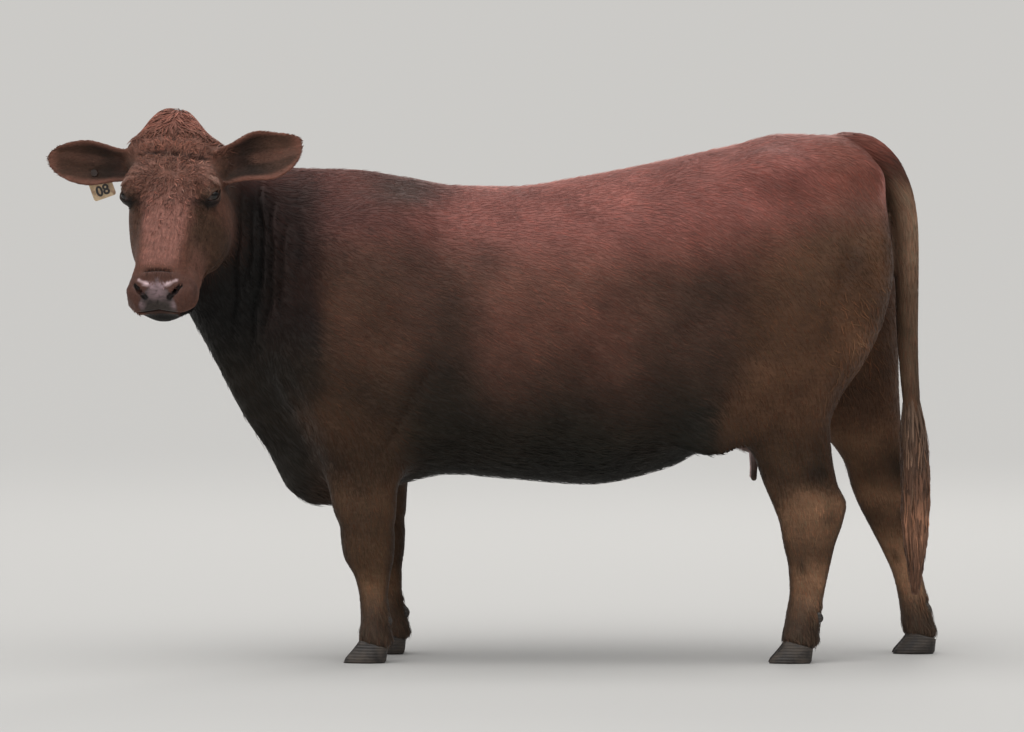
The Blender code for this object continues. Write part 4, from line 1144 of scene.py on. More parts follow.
class Nodes:
    """A small helper that lays out one material's nodes."""

    def __init__(self, name: str) -> None:
        """Start a material with its shader."""
        self.material = bpy.data.materials.new(name)
        self.material.use_nodes = True
        self.tree = self.material.node_tree
        self.shader = self.tree.nodes["Principled BSDF"]

    def add(self, kind: str, **values: object) -> Node:
        """Add a node and set its properties, or its inputs where a key names one.

        Args:
            kind: the node's type.
            **values: properties, or inputs by name with "_" for a space.

        Returns:
            The node.
        """
        node = self.tree.nodes.new(kind)
        for key, value in values.items():
            if hasattr(node, key):
                setattr(node, key, value)
            else:
                node.inputs[key.replace("_", " ")].default_value = value
        return node

    def link(self, source: NodeSocket, target: NodeSocket) -> None:
        """Join two sockets."""
        self.tree.links.new(source, target)

    def painted(self, name: str) -> Node:
        """Return the node of a colour stored at the mesh's points."""
        return self.add("ShaderNodeAttribute", attribute_name=name, attribute_type="GEOMETRY")

    def feed(self, name: str, source: NodeSocket) -> None:
        """Feed one of the shader's inputs."""
        self.link(source, self.shader.inputs[name])

    def ramp(self, factor: NodeSocket, *stops: tuple[float, Vec]) -> NodeSocket:
        """Turn a factor into a colour that runs from one stop's to the other's.

        Args:
            factor: the factor.
            *stops: two factors with their colours.

        Returns:
            The colour.
        """
        node = self.add("ShaderNodeValToRGB")
        for element, (at, colour) in zip(node.color_ramp.elements, stops):
            element.position, element.color = at, (*colour, 1.0)
        self.link(factor, node.inputs["Fac"])
        return node.outputs["Color"]

    def place(self, scale: Vec = (1.0, 1.0, 1.0)) -> NodeSocket:
        """Return the object's own coordinates, stretched."""
        spot = self.add("ShaderNodeTexCoord")
        mapping = self.add("ShaderNodeMapping")
        mapping.inputs["Scale"].default_value = scale
        self.link(spot.outputs["Object"], mapping.inputs["Vector"])
        return mapping.outputs["Vector"]

    def noise(self, scale: float, detail: float, stretch: Vec = (1.0, 1.0, 1.0)) -> NodeSocket:
        """Return a noise of the object's own coordinates."""
        node = self.add("ShaderNodeTexNoise", Scale=scale, Detail=detail, Roughness=0.6)
        self.link(self.place(stretch), node.inputs["Vector"])
        return node.outputs["Fac"]

    def between(
        self, factor: NodeSocket, low: float, high: float, span: tuple[float, float] = (0.3, 0.7)
    ) -> NodeSocket:
        """Map a factor's span to the levels from `low` to `high`.

        Args:
            factor: the factor.
            low: the lower level.
            high: the higher level.
            span: the factors that give them.

        Returns:
            The level.
        """
        node = self.add("ShaderNodeMapRange", From_Min=span[0], From_Max=span[1], To_Min=low, To_Max=high)
        self.link(factor, node.inputs["Value"])
        return node.outputs["Result"]

    def times(self, colour: NodeSocket, factor: NodeSocket) -> NodeSocket:
        """Multiply a colour by a number."""
        node = self.add("ShaderNodeVectorMath", operation="SCALE")
        self.link(colour, node.inputs[0])
        self.link(factor, node.inputs["Scale"])
        return node.outputs["Vector"]

    def bump(self, height: NodeSocket, strength: float, depth: float) -> None:
        """Add a height to the bumps of the surface.

        Args:
            height: the height.
            strength: its strength.
            depth: how far it stands out at most, in metres.
        """
        node = self.add("ShaderNodeBump", Strength=strength, Distance=depth)
        self.link(height, node.inputs["Height"])
        before = self.shader.inputs["Normal"]
        if before.is_linked:
            self.link(before.links[0].from_socket, node.inputs["Normal"])
        self.link(node.outputs["Normal"], before)

    def set(self, **values: object) -> None:
        """Set constants on the shader's own sockets."""
        for key, value in values.items():
            self.shader.inputs[key.replace("_", " ")].default_value = value


@dataclass(frozen=True)
class HideFinish:
    """Short flat hair seen as a skin: its markings with painted light and shade, fine streaks along the
    hair, soft blotches.
    """

    roughness: float = 0.62
    sheen: float = 0.06
    wet_roughness: float = 0.42

    def make(self) -> Material:
        """Return the material."""
        nodes = Nodes("hide")
        tone = nodes.painted(TONE)
        bare = nodes.painted(BARE)
        streak = nodes.noise(42.0, 4.0, (1.0, 1.0, 3.2))
        blotch = nodes.noise(5.0, 3.0)
        shade = nodes.times(tone.outputs["Color"], nodes.between(streak, 0.75, 1.15))
        shade = nodes.times(shade, nodes.between(blotch, 0.85, 1.15))
        nodes.feed("Base Color", shade)
        rough = nodes.between(bare.outputs["Fac"], self.roughness, self.wet_roughness, (0.0, 1.0))
        nodes.feed("Roughness", rough)
        nodes.bump(nodes.noise(160.0, 3.0, (1.0, 1.0, 2.6)), 0.35, 0.0015)
        pores = nodes.add("ShaderNodeTexVoronoi", Scale=420.0)
        nodes.link(nodes.place(), pores.inputs["Vector"])
        nodes.bump(pores.outputs["Distance"], 0.25, 0.0006)
        nodes.set(Sheen_Weight=self.sheen, Sheen_Roughness=0.5, Specular_IOR_Level=0.16)
        return nodes.material


@dataclass(frozen=True)
class HairFinish:
    """Locks of hair: their markings with painted light and shade, varied finely, with a soft shine."""

    name: str = "coat"
    roughness: float = 0.55
    sheen: float = 0.05
    specular: float = 0.1

    def make(self) -> Material:
        """Return the material."""
        nodes = Nodes(self.name)
        tone = nodes.painted(TONE)
        strands = nodes.noise(330.0, 2.0, (1.0, 1.0, 2.0))
        blotch = nodes.noise(7.0, 3.0)
        shade = nodes.times(tone.outputs["Color"], nodes.between(strands, 0.86, 1.14))
        shade = nodes.times(shade, nodes.between(blotch, 0.86, 1.14))
        nodes.feed("Base Color", shade)
        nodes.bump(nodes.noise(700.0, 1.0, (1.0, 1.0, 0.5)), 0.25, 0.0008)
        nodes.set(
            Roughness=self.roughness,
            Sheen_Weight=self.sheen,
            Sheen_Roughness=0.45,
            Specular_IOR_Level=self.specular,
        )
        return nodes.material


@dataclass(frozen=True)
class HornFinish:
    """Hoof horn: dark, with growth rings across it and fine grain down it, dull with dust."""

    dark: tuple[float, float, float] = (0.018, 0.014, 0.012)
    worn: tuple[float, float, float] = (0.085, 0.066, 0.052)

    def make(self) -> Material:
        """Return the material."""
        nodes = Nodes("hoof_horn")
        rings = nodes.add(
            "ShaderNodeTexWave", wave_type="BANDS", bands_direction="Z",
            Scale=42.0, Distortion=1.6, Detail=2.0,
        )
        nodes.link(nodes.place((0.35, 0.35, 1.0)), rings.inputs["Vector"])
        dust = nodes.noise(38.0, 4.0)
        shade = nodes.ramp(dust, (0.35, self.dark), (0.8, self.worn))
        shade = nodes.times(shade, nodes.between(rings.outputs["Fac"], 0.8, 1.15, (0.0, 1.0)))
        nodes.feed("Base Color", shade)
        nodes.feed("Roughness", nodes.between(dust, 0.42, 0.72))
        nodes.bump(rings.outputs["Fac"], 0.5, 0.0012)
        nodes.bump(nodes.noise(240.0, 3.0, (1.0, 1.0, 0.15)), 0.3, 0.0006)
        return nodes.material


@dataclass(frozen=True)
class EyeFinish:
    """A wet dark eye: the colours painted on the ball under a clear film."""

    def make(self) -> Material:
        """Return the material."""
        nodes = Nodes("eye")
        tone = nodes.painted(TONE)
        shade = nodes.times(tone.outputs["Color"], nodes.between(nodes.noise(900.0, 2.0), 0.7, 1.3))
        nodes.feed("Base Color", shade)
        nodes.set(Roughness=0.1, Specular_IOR_Level=0.3, Coat_Weight=0.3, Coat_Roughness=0.03)
        return nodes.material


@dataclass(frozen=True)
class PlasticFinish:
    """Moulded tag plastic: dull, faintly mottled and scuffed, grimy in patches."""

    name: str = "tag_plastic"
    clean: tuple[float, float, float] = (0.62, 0.47, 0.3)
    grime: tuple[float, float, float] = (0.3, 0.2, 0.12)
    roughness: float = 0.5

    def make(self) -> Material:
        """Return the material."""
        nodes = Nodes(self.name)
        nodes.feed("Base Color", nodes.ramp(nodes.noise(60.0, 5.0), (0.3, self.grime), (0.52, self.clean)))
        nodes.feed("Roughness", nodes.between(nodes.noise(180.0, 3.0), 0.38, 0.62))
        nodes.bump(nodes.noise(500.0, 2.0), 0.2, 0.0003)
        nodes.set(Subsurface_Weight=0.08)
        return nodes.material


@dataclass(frozen=True)
class FloorFinish:
    """A plain pale floor that turns into the backdrop's colour far away."""

    colour: tuple[float, float, float] = (0.46, 0.455, 0.445)
    far: tuple[float, float, float] = (0.6, 0.59, 0.57)
    fades: tuple[float, float] = (5.0, 70.0)

    def make(self) -> Material:
        """Return the material."""
        nodes = Nodes("floor")
        nodes.set(Base_Color=(*self.colour, 1.0), Roughness=0.85, Specular_IOR_Level=0.2)
        away = nodes.add("ShaderNodeVectorMath", operation="LENGTH")
        nodes.link(nodes.place(), away.inputs[0])
        glow = nodes.add("ShaderNodeEmission", Color=(*self.far, 1.0))
        mix = nodes.add("ShaderNodeMixShader")
        nodes.link(nodes.between(away.outputs["Value"], 0.0, 1.0, self.fades), mix.inputs["Fac"])
        nodes.link(nodes.shader.outputs["BSDF"], mix.inputs[1])
        nodes.link(glow.outputs["Emission"], mix.inputs[2])
        nodes.link(mix.outputs["Shader"], nodes.tree.nodes["Material Output"].inputs["Surface"])
        return nodes.material


# ---------------------------------------------------------------- markings and painted light


@dataclass
class Sites:
    """Places on the skin, with what the coat and its colours need to know of each."""

    p: Array  # in the plan's coordinates
    n: Array  # normals
    share: Array  # how much each region has of each place
    q: Array  # in the head's frame
    u: Array  # along the body's axis
    off: Array  # off that axis, to her right
    turned: Array  # how far the axis has turned there

    def of(self, *regions: Region) -> Array:
        """Return the share that some regions have of each place."""
        return self.share[:, [region.value for region in regions]].sum(1)

    def pick(self, chosen: Array) -> "Sites":
        """Return some of the places."""
        return Sites(
            self.p[chosen], self.n[chosen], self.share[chosen], self.q[chosen],
            self.u[chosen], self.off[chosen], self.turned[chosen],
        )


EAR_REGIONS = (Region.EAR_RIGHT, Region.EAR_LEFT)
HIND_REGIONS = (Region.HIND_LEFT, Region.HIND_RIGHT)
FORE_REGIONS = (Region.FORE_LEFT, Region.FORE_RIGHT)
LEG_REGIONS = HIND_REGIONS + FORE_REGIONS


def survey(body: Body, p: Array, n: Array) -> Sites:
    """Work out what the coat needs to know of places on the skin.

    Args:
        body: the field.
        p: places in the plan's coordinates.
        n: normals there.

    Returns:
        The places.
    """
    parts = body.parts(p)
    value = np.stack([parts[region] for region in Region], 1)
    share = np.exp(-(value - value.min(1, keepdims=True)) / 0.018)
    share /= share.sum(1, keepdims=True)
    u, off, turned = body.along(p)
    return Sites(p, n, share, to_head(p), u, off, turned)


def ripple(p: Array, length: float, seed: int) -> Array:
    """Return a soft wandering of about -1 to 1: six sines in different directions, averaged."""
    rng = np.random.default_rng(SEED + seed)
    ways = unit(rng.normal(size=(6, 3))) * (2 * math.pi / length) * rng.uniform(0.6, 1.6, (6, 1))
    phase = rng.uniform(0, 2 * math.pi, 6)
    return np.sin(p @ ways.T + phase).sum(1) / 2.6


class Tone(Enum):
    """Colours of the coat and the bare skin, linear; some of them are painted light and shade."""

    # lighter than the sides: partly her own colour, partly painted light from above
    BACK = (0.200, 0.070, 0.057)
    RUMP = (0.165, 0.053, 0.038)
    # painted highlight: the pale line along her back and the rump's rear edge
    RIDGE = (0.440, 0.1900, 0.1600)
    WITHERS = (0.084, 0.030, 0.024)
    SIDE = (0.122, 0.051, 0.036)
    # painted shade over the flank
    FLANK = (0.062, 0.036, 0.025)
    # this and the next: painted shade of the lower sides and the underside, also in hollows at the elbow
    # and hocks
    LOW = (0.0165, 0.0125, 0.0086)
    BELLY = (0.0130, 0.0120, 0.0092)
    # painted shade on the neck beside the head
    NECK = (0.0165, 0.0095, 0.0082)
    JAW_SHADE = (0.0048, 0.0048, 0.0044)
    # painted shade on the brisket
    BRISKET = (0.0140, 0.0105, 0.0072)
    # painted shade in hollows, on the lower body and on the far hind leg
    SMUDGE = (0.036, 0.0210, 0.0140)
    THIGH = (0.073, 0.0345, 0.0180)
    LEG = (0.035, 0.0185, 0.0100)
    CANNON = (0.150, 0.0800, 0.0430)
    # also the painted highlights on the hocks and knees
    HIND_CANNON = (0.258, 0.1380, 0.0780)
    FETLOCK = (0.070, 0.0440, 0.0300)
    FACE = (0.112, 0.0470, 0.0320)
    # partly the bridge's own colour, partly painted highlight
    BRIDGE = (0.205, 0.0890, 0.0690)
    PLATE = (0.165, 0.0660, 0.0450)
    # also painted highlights on the brow ridges and the muzzle's lit side
    BROW = (0.180, 0.0850, 0.0640)
    CHEEK = (0.150, 0.0650, 0.0420)
    # painted shade on the face's sides, in the temples and round the eyes
    FACE_SHADE = (0.044, 0.0260, 0.0150)
    # nearly black: the lids, and painted shade in the forehead's crease and the tear groove
    EYELID = (0.007, 0.0050, 0.0048)
    # painted highlight on the tuft over each eye
    TUFT_HIGHLIGHT = (0.400, 0.2500, 0.2000)
    POLL = (0.214, 0.0830, 0.0590)
    # painted shade inside the ear's cup
    EAR_INSIDE = (0.022, 0.0130, 0.0085)
    EAR_RIDGE = (0.130, 0.0620, 0.0440)
    EAR_BACK = (0.084, 0.0400, 0.0260)
    EAR_RIM = (0.190, 0.0800, 0.0560)
    PAD = (0.044, 0.0340, 0.0290)
    PAD_MIDDLE = (0.300, 0.2050, 0.2200)
    SNOUT = (0.082, 0.0380, 0.0290)
    PAD_WING = (0.800, 0.6000, 0.6200)
    # painted shade under the mouth; also the dark dots on the pad
    CHIN = (0.0120, 0.0095, 0.0085)
    # painted shade in the nose's crease and the nostrils
    MOUTH = (0.010, 0.0070, 0.0065)
    # lighter than the rump: partly its own colour, partly painted light
    TAIL = (0.240, 0.1440, 0.0930)
    SWITCH = (0.118, 0.0560, 0.0320)
    UDDER = (0.150, 0.0800, 0.0620)
    # pink, made paler than the skin's own colour as painted light
    TEAT = (0.680, 0.4600, 0.4500)

    @property
    def rgb(self) -> Array:
        """The colour as an array."""
        return np.asarray(self.value)

    def on(self, places: Array) -> Array:
        """The colour at each place."""
        return np.tile(self.rgb, (len(places), 1))


def over(under: Array, tone: Tone, share: Array) -> Array:
    """Lay a tone over colours, as much as `share` says at each place."""
    share = np.clip(share, 0, 1)[:, None]
    return under * (1 - share) + tone.rgb * share


# painted light and shade: soft patches on her sides and legs: x, z, half width, half height, how much
# lighter or darker
LIGHT_AND_SHADE_PATCHES = (
    (0.909, 0.824, 0.045, 0.060, 0.80), (0.268, 1.176, 0.120, 0.045, 0.18),
    (0.721, 1.277, 0.090, 0.040, 0.26), (0.595, 0.723, 0.060, 0.060, -0.28),
    (0.318, 0.925, 0.100, 0.080, -0.14), (0.972, 1.076, 0.026, 0.100, 0.30),
    (0.922, 1.025, 0.035, 0.050, -0.26), (0.267, 0.572, 0.100, 0.050, 0.50),
    (-0.236, 1.200, 0.070, 0.040, -0.24), (0.771, 1.176, 0.070, 0.060, 0.18),
    (0.771, 0.723, 0.080, 0.070, 0.14), (0.809, 0.391, 0.050, 0.035, 0.10),
    (0.871, 0.405, 0.030, 0.030, -0.18),
)
# painted shade: dark patches on her trunk: x, z, half width, half height, share
SHADE_PATCHES = (
    (-0.120, 0.690, 0.085, 0.160, 0.75), (-0.060, 0.540, 0.150, 0.080, 0.70),
    (0.544, 0.950, 0.060, 0.050, 0.60), (0.606, 0.774, 0.075, 0.055, 0.55),
    (-0.009, 1.026, 0.060, 0.050, 0.45), (-0.110, 0.875, 0.070, 0.090, 0.55),
    (0.480, 0.660, 0.080, 0.070, 0.50), (0.620, 0.560, 0.100, 0.080, 0.60),
    (-0.236, 1.200, 0.090, 0.045, 0.62), (-0.311, 0.925, 0.100, 0.080, 0.30),
    (0.885, 1.025, 0.100, 0.090, 0.34),
)
SHADE_PATCHES_DARK_BELOW = 0.74  # a patch of painted shade lower than this has the underside's tone
# painted light and shade at each hock: share of the leg's depth, z, half width, half height, tone, share
HOCK_LIGHT_AND_SHADE = (
    (0.48, 0.405, 0.26, 0.038, Tone.HIND_CANNON, 0.55),
    (0.93, 0.400, 0.12, 0.028, Tone.HIND_CANNON, 0.55),
    (0.82, 0.488, 0.16, 0.040, Tone.LOW, 0.50),
    (0.74, 0.368, 0.12, 0.014, Tone.LOW, 0.55),
    (0.24, 0.540, 0.26, 0.070, Tone.CANNON, 0.16),
    (0.30, 0.256, 0.12, 0.020, Tone.LOW, 0.60),
)


def teat_distance(p: Array) -> Array:
    """Distance to the nearest teat."""
    both = mirrored(p)
    high, low = TRUNK.teat_heights
    return np.minimum(*(
        bar(both, (x, -y, high - 0.008), (x - 0.004, -y, low), *TRUNK.teat_radii) for x, y in TRUNK.teats
    ))


@dataclass
class MarkingsAndLight:
    """Her colours as a function of place, painted light and shade among them, the same for skin and coat.
    """

    body: Body

    def trunk(self, s: Sites) -> Array:
        """Red on top and darker down the sides, partly painted light; dark below and nearly black beside
        the jaw with painted shade, and a painted highlight along the back.

        Args:
            s: places on the skin.

        Returns:
            A colour for each place.
        """
        x, _, z = s.p.T
        tone = Tone.SIDE.on(z)
        # lighter on top, more where the skin faces up: partly her own colour, partly painted light from
        # above
        top = ease(0.98, 1.2, z + 0.1 * s.n[:, 2] - 0.1 * ease(0.5, 0.9, x))
        upper = over(Tone.WITHERS.on(z), Tone.BACK, ease(-0.27, -0.04, x))
        upper = over(upper, Tone.RUMP, ease(0.74, 0.9, x))
        tone = tone * (1 - top)[:, None] + upper * top[:, None]
        # painted shade behind the shoulder and on the lower barrel toward the flank
        tone = over(tone, Tone.SMUDGE, ease(0.02, -0.14, x) * fall(1.0, 1.14, z) * 0.55)
        tone = over(tone, Tone.SMUDGE, ease(0.3, 0.52, x) * fall(0.92, 1.06, z) * 0.45)
        # painted shade: the flank darker below the loin
        flank = ease(0.22, 0.42, x) * fall(0.62, 0.78, x) * fall(0.92, 1.06, z)
        tone = over(tone, Tone.FLANK, flank * 0.6)
        # painted shade: darker down the lower sides, nearly black under the belly and below the flank's
        # fold
        low = z + 0.02 * ripple(s.p * (1.0, 0.3, 0.3), 0.3, 7)
        tone = over(tone, Tone.SMUDGE, fall(0.68, 0.92, low) * 0.75)
        tone = over(tone, Tone.LOW, fall(0.58, 0.78, low))
        arch = fall(0.88, 1.02, np.hypot((x - 0.545) / 0.1, (z - 0.56) / 0.105))
        tone = over(tone, Tone.BELLY, arch * 0.85)
        tone = over(tone, Tone.BELLY, fall(0.48, 0.62, low) * 0.9)
        # patches of painted shade
        for at, up, wide, tall, share in SHADE_PATCHES:
            shade = Tone.SMUDGE if up > SHADE_PATCHES_DARK_BELOW else Tone.LOW
            tone = over(tone, shade, spot(x - at, z - up, wide, tall) * share)
        # painted shade on the neck beside the head, nearly black beside the jaw
        neck = ease(0.36, 0.54, s.u) * fall(1.17, 1.29, z)
        tone = over(tone, Tone.NECK, neck * 0.9)
        jaw = ease(0.6, 0.7, s.u) * fall(1.14, 1.24, z)
        tone = over(tone, Tone.JAW_SHADE, np.maximum(jaw, 0.8 * neck * fall(0.7, 1.02, z)) * 0.92)
        # painted shade in the neck's folds, painted highlight on the ridges between them
        furrow = np.clip(self.body.folds(s.p) / 0.009, -0.6, 1.0)
        tone = over(tone, Tone.JAW_SHADE, furrow * 0.6) * (1 + 0.75 * np.clip(-furrow, 0, 1))[:, None]
        # painted shade on the brisket
        chest = ease(0.38, 0.46, s.u) * fall(0.7, 0.9, z)
        tone = over(tone, Tone.BRISKET, chest * 0.9)
        shoulder = ease(0.16, 0.32, s.u) * fall(0.88, 1.12, z) * fall(0.42, 0.52, s.u)
        tone = over(tone, Tone.THIGH, shoulder * 0.35)
        # painted shade above the forearm
        tone = over(tone, Tone.LOW, ease(0.6, 0.65, z) * fall(0.66, 0.8, z) * bell(x + 0.33, 0.1) * 0.6)
        rear = ease(0.56, 0.7, x) * fall(0.92, 1.14, z) * ease(0.62, 0.72, z)
        tone = over(tone, Tone.THIGH, rear * 0.7)
        # painted highlight along the top of the back
        ridge = ease(0.9, 0.99, s.n[:, 2]) * bell(s.off, 0.06) * fall(0.86, 0.95, x)
        tone = over(tone, Tone.RIDGE, ridge * (0.12 + 0.55 * ease(-0.3, 0.05, x)))
        # painted highlight along the rump's rear edge
        turn = s.n[:, 0] * (x > 0.85)
        rim = ease(0.66, 0.84, turn) * fall(0.975, 0.995, turn) * ease(0.84, 0.95, z) * fall(1.24, 1.29, z)
        tone = over(tone, Tone.RIDGE, rim * 0.55)
        # painted shade in the cleft beside the tail's root
        cleft = ease(0.84, 0.92, x) * fall(0.04, 0.075, np.abs(s.p[:, 1])) * ease(0.7, 0.8, z)
        tone = over(tone, Tone.JAW_SHADE, cleft * fall(1.22, 1.29, z) * 0.85)
        bag = fall(0.0, 0.045, ellipsoid(s.p, *TRUNK.udder[:2]))
        tone = over(tone, Tone.UDDER, bag * fall(0.56, 0.6, z))
        # pink teats, made paler as painted light
        return over(tone, Tone.TEAT, fall(0.002, 0.01, teat_distance(s.p)))

    def legs(self, s: Sites) -> Array:
        """Brown thighs and forearms, lighter cannons, dark fetlocks; painted highlights on the bone at the
        hocks and knees, painted shade in the hocks' hollows and along the edges, painted light and shade in
        bands.

        Args:
            s: places on the skin.

        Returns:
            A colour for each place.
        """
        z = s.p[:, 2]
        hind = s.of(*HIND_REGIONS) / np.maximum(s.of(*LEG_REGIONS), 1e-3)
        tone = Tone.LEG.on(z)
        tone = over(tone, Tone.THIGH, ease(0.52, 0.66, z))
        tone = over(tone, Tone.SIDE, ease(1.06, 1.2, z) * hind)
        tone = over(tone, Tone.CANNON, fall(0.14, 0.4, z))
        patchy = z + 0.03 * ripple(s.p, 0.1, 12)
        tone = over(tone, Tone.HIND_CANNON, fall(0.22, 0.54, patchy) * hind * 0.83)
        tone = self.hocks(s, tone)
        # painted highlight on the knees
        tone = over(tone, Tone.HIND_CANNON, bell(z - 0.395, 0.05) * (1 - hind) * 0.18)
        # painted shade along the legs' front and rear edges
        edge = ease(0.45, 0.95, np.abs(s.n[:, 0])) * fall(0.44, 0.6, z)
        tone = over(tone, Tone.LEG, edge * 0.55)
        # painted shade and light on the far hind leg, painted light on the forearms
        far = s.of(Region.HIND_RIGHT)
        tone = over(tone, Tone.SMUDGE, far * fall(0.6, 0.84, z) * ease(0.42, 0.62, z) * 0.25)
        tone *= (1 + 0.4 * far * fall(0.4, 0.52, z) + 0.14 * (1 - hind) * bell(z - 0.46, 0.09))[:, None]
        tone = over(tone, Tone.FETLOCK, fall(0.09, 0.22, z))
        # painted light and shade in bands across the legs
        close = s.of(Region.HIND_LEFT)
        painted_light_gain = 1 - close * (0.6 * bell(z - 0.285, 0.048) + 0.32 * bell(z - 0.484, 0.025))
        painted_light_gain = painted_light_gain * (1 - far * 0.58 * bell(z - 0.345, 0.055)) * (1 + far * 1.9 * bell(z - 0.555, 0.06))
        painted_light_gain *= (1 - 0.28 * (1 - hind) * bell(z - 0.245, 0.045))
        tone *= painted_light_gain[:, None]
        rear = ease(0.3, 0.8, s.n[:, 0]) * ease(0.34, 0.5, z) * fall(0.7, 0.86, z)
        return over(tone, Tone.THIGH, rear * 0.5)

    def hocks(self, s: Sites, tone: Array) -> Array:
        """Painted highlights on the hock's side and point, painted shade in the hollows above, under and
        below it.
        """
        z = s.p[:, 2]
        for region in HIND_REGIONS:
            front, rear = (curve(z) for curve in self.body.leg_curves[region.name.lower()][:2])
            across = (s.p[:, 0] - front) / np.maximum(rear - front, 0.02)
            here = s.of(region)
            for at, up, wide, tall, shade, share in HOCK_LIGHT_AND_SHADE:
                tone = over(tone, shade, spot(across - at, z - up, wide, tall) * here * share)
        return tone

    def head(self, s: Sites) -> Array:
        """Plate light, bridge light partly by painted highlight, cheeks dark with painted shade, lids
        nearly black, a pale pad, a chin black with painted shade.

        Args:
            s: places on the skin.

        Returns:
            A colour for each place.
        """
        a, side, b = s.q.T
        m = np.abs(side)
        tone = Tone.FACE.on(a)
        front = ease(0.2, 0.75, s.n @ AXES[2])
        tone = over(tone, Tone.CHEEK, 1 - front)
        # painted shade on the sides of the muzzle, deeper on her left
        side_plane = ease(0.046, 0.074, m) * fall(0.13, 0.2, a) * ease(0.0, 0.07, a)
        tone = over(tone, Tone.FACE_SHADE, side_plane * (0.45 + 0.35 * (side > 0)))
        # painted highlight on the lit side of the muzzle
        lit = ease(0.1, 0.17, a) * ease(0.06, 0.075, m) * fall(0.235, 0.26, a) * ease(-0.09, -0.05, b)
        tone = over(tone, Tone.BROW, lit * 0.45)
        # lighter down the bridge where it faces forward: partly its own colour, partly painted highlight
        edge = m + 0.006 * ripple(s.p, 0.05, 13) - 0.1 * (0.2 - a) * (a < 0.2) * (a > 0.02)
        bridge = ease(-0.06, 0.1, a) * fall(0.205, 0.224, a) * fall(0.03, 0.066, edge)
        tone = over(tone, Tone.BRIDGE, bridge * front * 0.9)
        plate = ease(-0.158, -0.14, a) * fall(-0.105, -0.09, a - 0.11 * side) * fall(0.085, 0.12, m)
        tone = over(tone, Tone.PLATE, plate * (0.6 + 0.25 * ripple(s.p, 0.02, 14)))
        flecks = ease(0.25, 0.8, ripple(s.p, 0.012, 11)) * ease(-0.09, -0.06, a) * fall(0.02, 0.07, a)
        tone = over(tone, Tone.BROW, flecks * front * 0.8)
        # painted highlight on the brow ridges
        brow = bell(a + 0.055 - 0.3 * (m - 0.07), 0.014) * ease(0.035, 0.055, m) * fall(0.085, 0.11, m)
        tone = over(tone, Tone.BROW, brow * 0.6)
        # painted shade in the forehead's crease
        crease = bell(a + 0.089 - 0.11 * side, 0.005) * fall(0.075, 0.1, m)
        tone = over(tone, Tone.EYELID, crease * 0.75)
        tone = over(tone, Tone.POLL, fall(-0.2, -0.145, a) * 0.95)
        # painted shade in the temple's hollow
        temple = spot(a + 0.075, m - 0.13, 0.045, 0.03)
        tone = over(tone, Tone.FACE_SHADE, temple * 0.7)
        place = np.stack([a, m, b], 1)
        eye = place - np.asarray(HEAD.eye)
        away = norm(eye * (0.75, 1.0, 1.15))
        # painted shade round the eye
        tone = over(tone, Tone.FACE_SHADE, fall(0.022, 0.046, away) * 0.8)
        # painted shade in the tear groove
        pit = norm((place - (0.04, 0.082, 0.052)) * (1.0, 0.7, 1.0))
        tone = over(tone, Tone.EYELID, fall(0.006, 0.024, pit) * 0.8)
        tone = over(tone, Tone.EYELID, fall(0.02, 0.03, away) * 0.94)
        # painted highlight on the tuft over the eye
        tuft = norm((place - (-0.021, 0.111, 0.056)) * (1.3, 0.8, 1.0))
        tone = over(tone, Tone.TUFT_HIGHLIGHT, fall(0.004, 0.017, tuft) * 0.75)
        coarse = 0.2 * ripple(s.p, 0.014, 41) + 0.22 * ripple(s.p, 0.006, 42)
        tone *= (1 + coarse * fall(0.19, 0.23, a))[:, None]
        # painted shade: the chin under the mouth nearly black
        below = b + 0.3 * (0.305 - a) + 0.016 * ease(0.03, 0.06, -side)
        tone = over(tone, Tone.CHIN, ease(0.16, 0.22, a) * fall(-0.052, -0.044, below))
        tone = over(tone, Tone.SNOUT, ease(0.222, 0.24, a) * ease(-0.05, -0.036, b) * 0.8)
        # painted shade in the crease above the pad
        tone = over(tone, Tone.MOUTH, bell(a - 0.232 - 1.1 * m * m, 0.0042) * fall(0.026, 0.042, m) * 0.8)
        tone = over(tone, Tone.PAD, self.pad(s))
        centre = bell(side, 0.026) * ease(-0.018, 0.006, b) + bell(m - 0.044, 0.01) * bell(b + 0.016, 0.01)
        tone = over(tone, Tone.PAD_MIDDLE, self.pad(s) * np.clip(centre, 0, 1) * 0.85)
        dots = ease(0.55, 0.9, ripple(s.p, 0.008, 15)) * self.pad(s)
        tone = over(tone, Tone.CHIN, dots * 0.5)
        bump = bar(place, (0.262, 0.03, 0.015), (0.27, 0.008, 0.015), 0.005, 0.005)
        tone = over(tone, Tone.PAD_MIDDLE, fall(0.0, 0.005, bump))
        tone = over(tone, Tone.PAD_WING, fall(-0.002, 0.003, self.wing(place)))
        # painted shade in the nostrils
        return over(tone, Tone.MOUTH, fall(0.0, 0.0045, self.nostril(place)))

    def wing(self, place: Array) -> Array:
        """Distance to the pale roll over a nostril, in the head's frame."""
        return bar(place, (0.255, 0.047, 0.015), (0.266, 0.025, 0.015), 0.0046, 0.0056)

    def nostril(self, place: Array) -> Array:
        """Distance to the slit under it."""
        return bar(place, (0.265, 0.058, 0.008), (0.293, 0.031, -0.003), 0.0036, 0.005)

    def pad(self, s: Sites) -> Array:
        """Return 1 on the bare pad between the nostrils, down to the lip."""
        a, side, b = s.q.T
        half = np.interp(b, (-0.045, -0.011, 0.009, 0.014, 0.022), (0.047, 0.047, 0.034, 0.024, 0.004))
        inside = fall(-0.004, 0.004, np.abs(side) - half)
        return inside * ease(0.246, 0.258, a) * ease(-0.047, -0.041, b) * s.of(Region.HEAD)

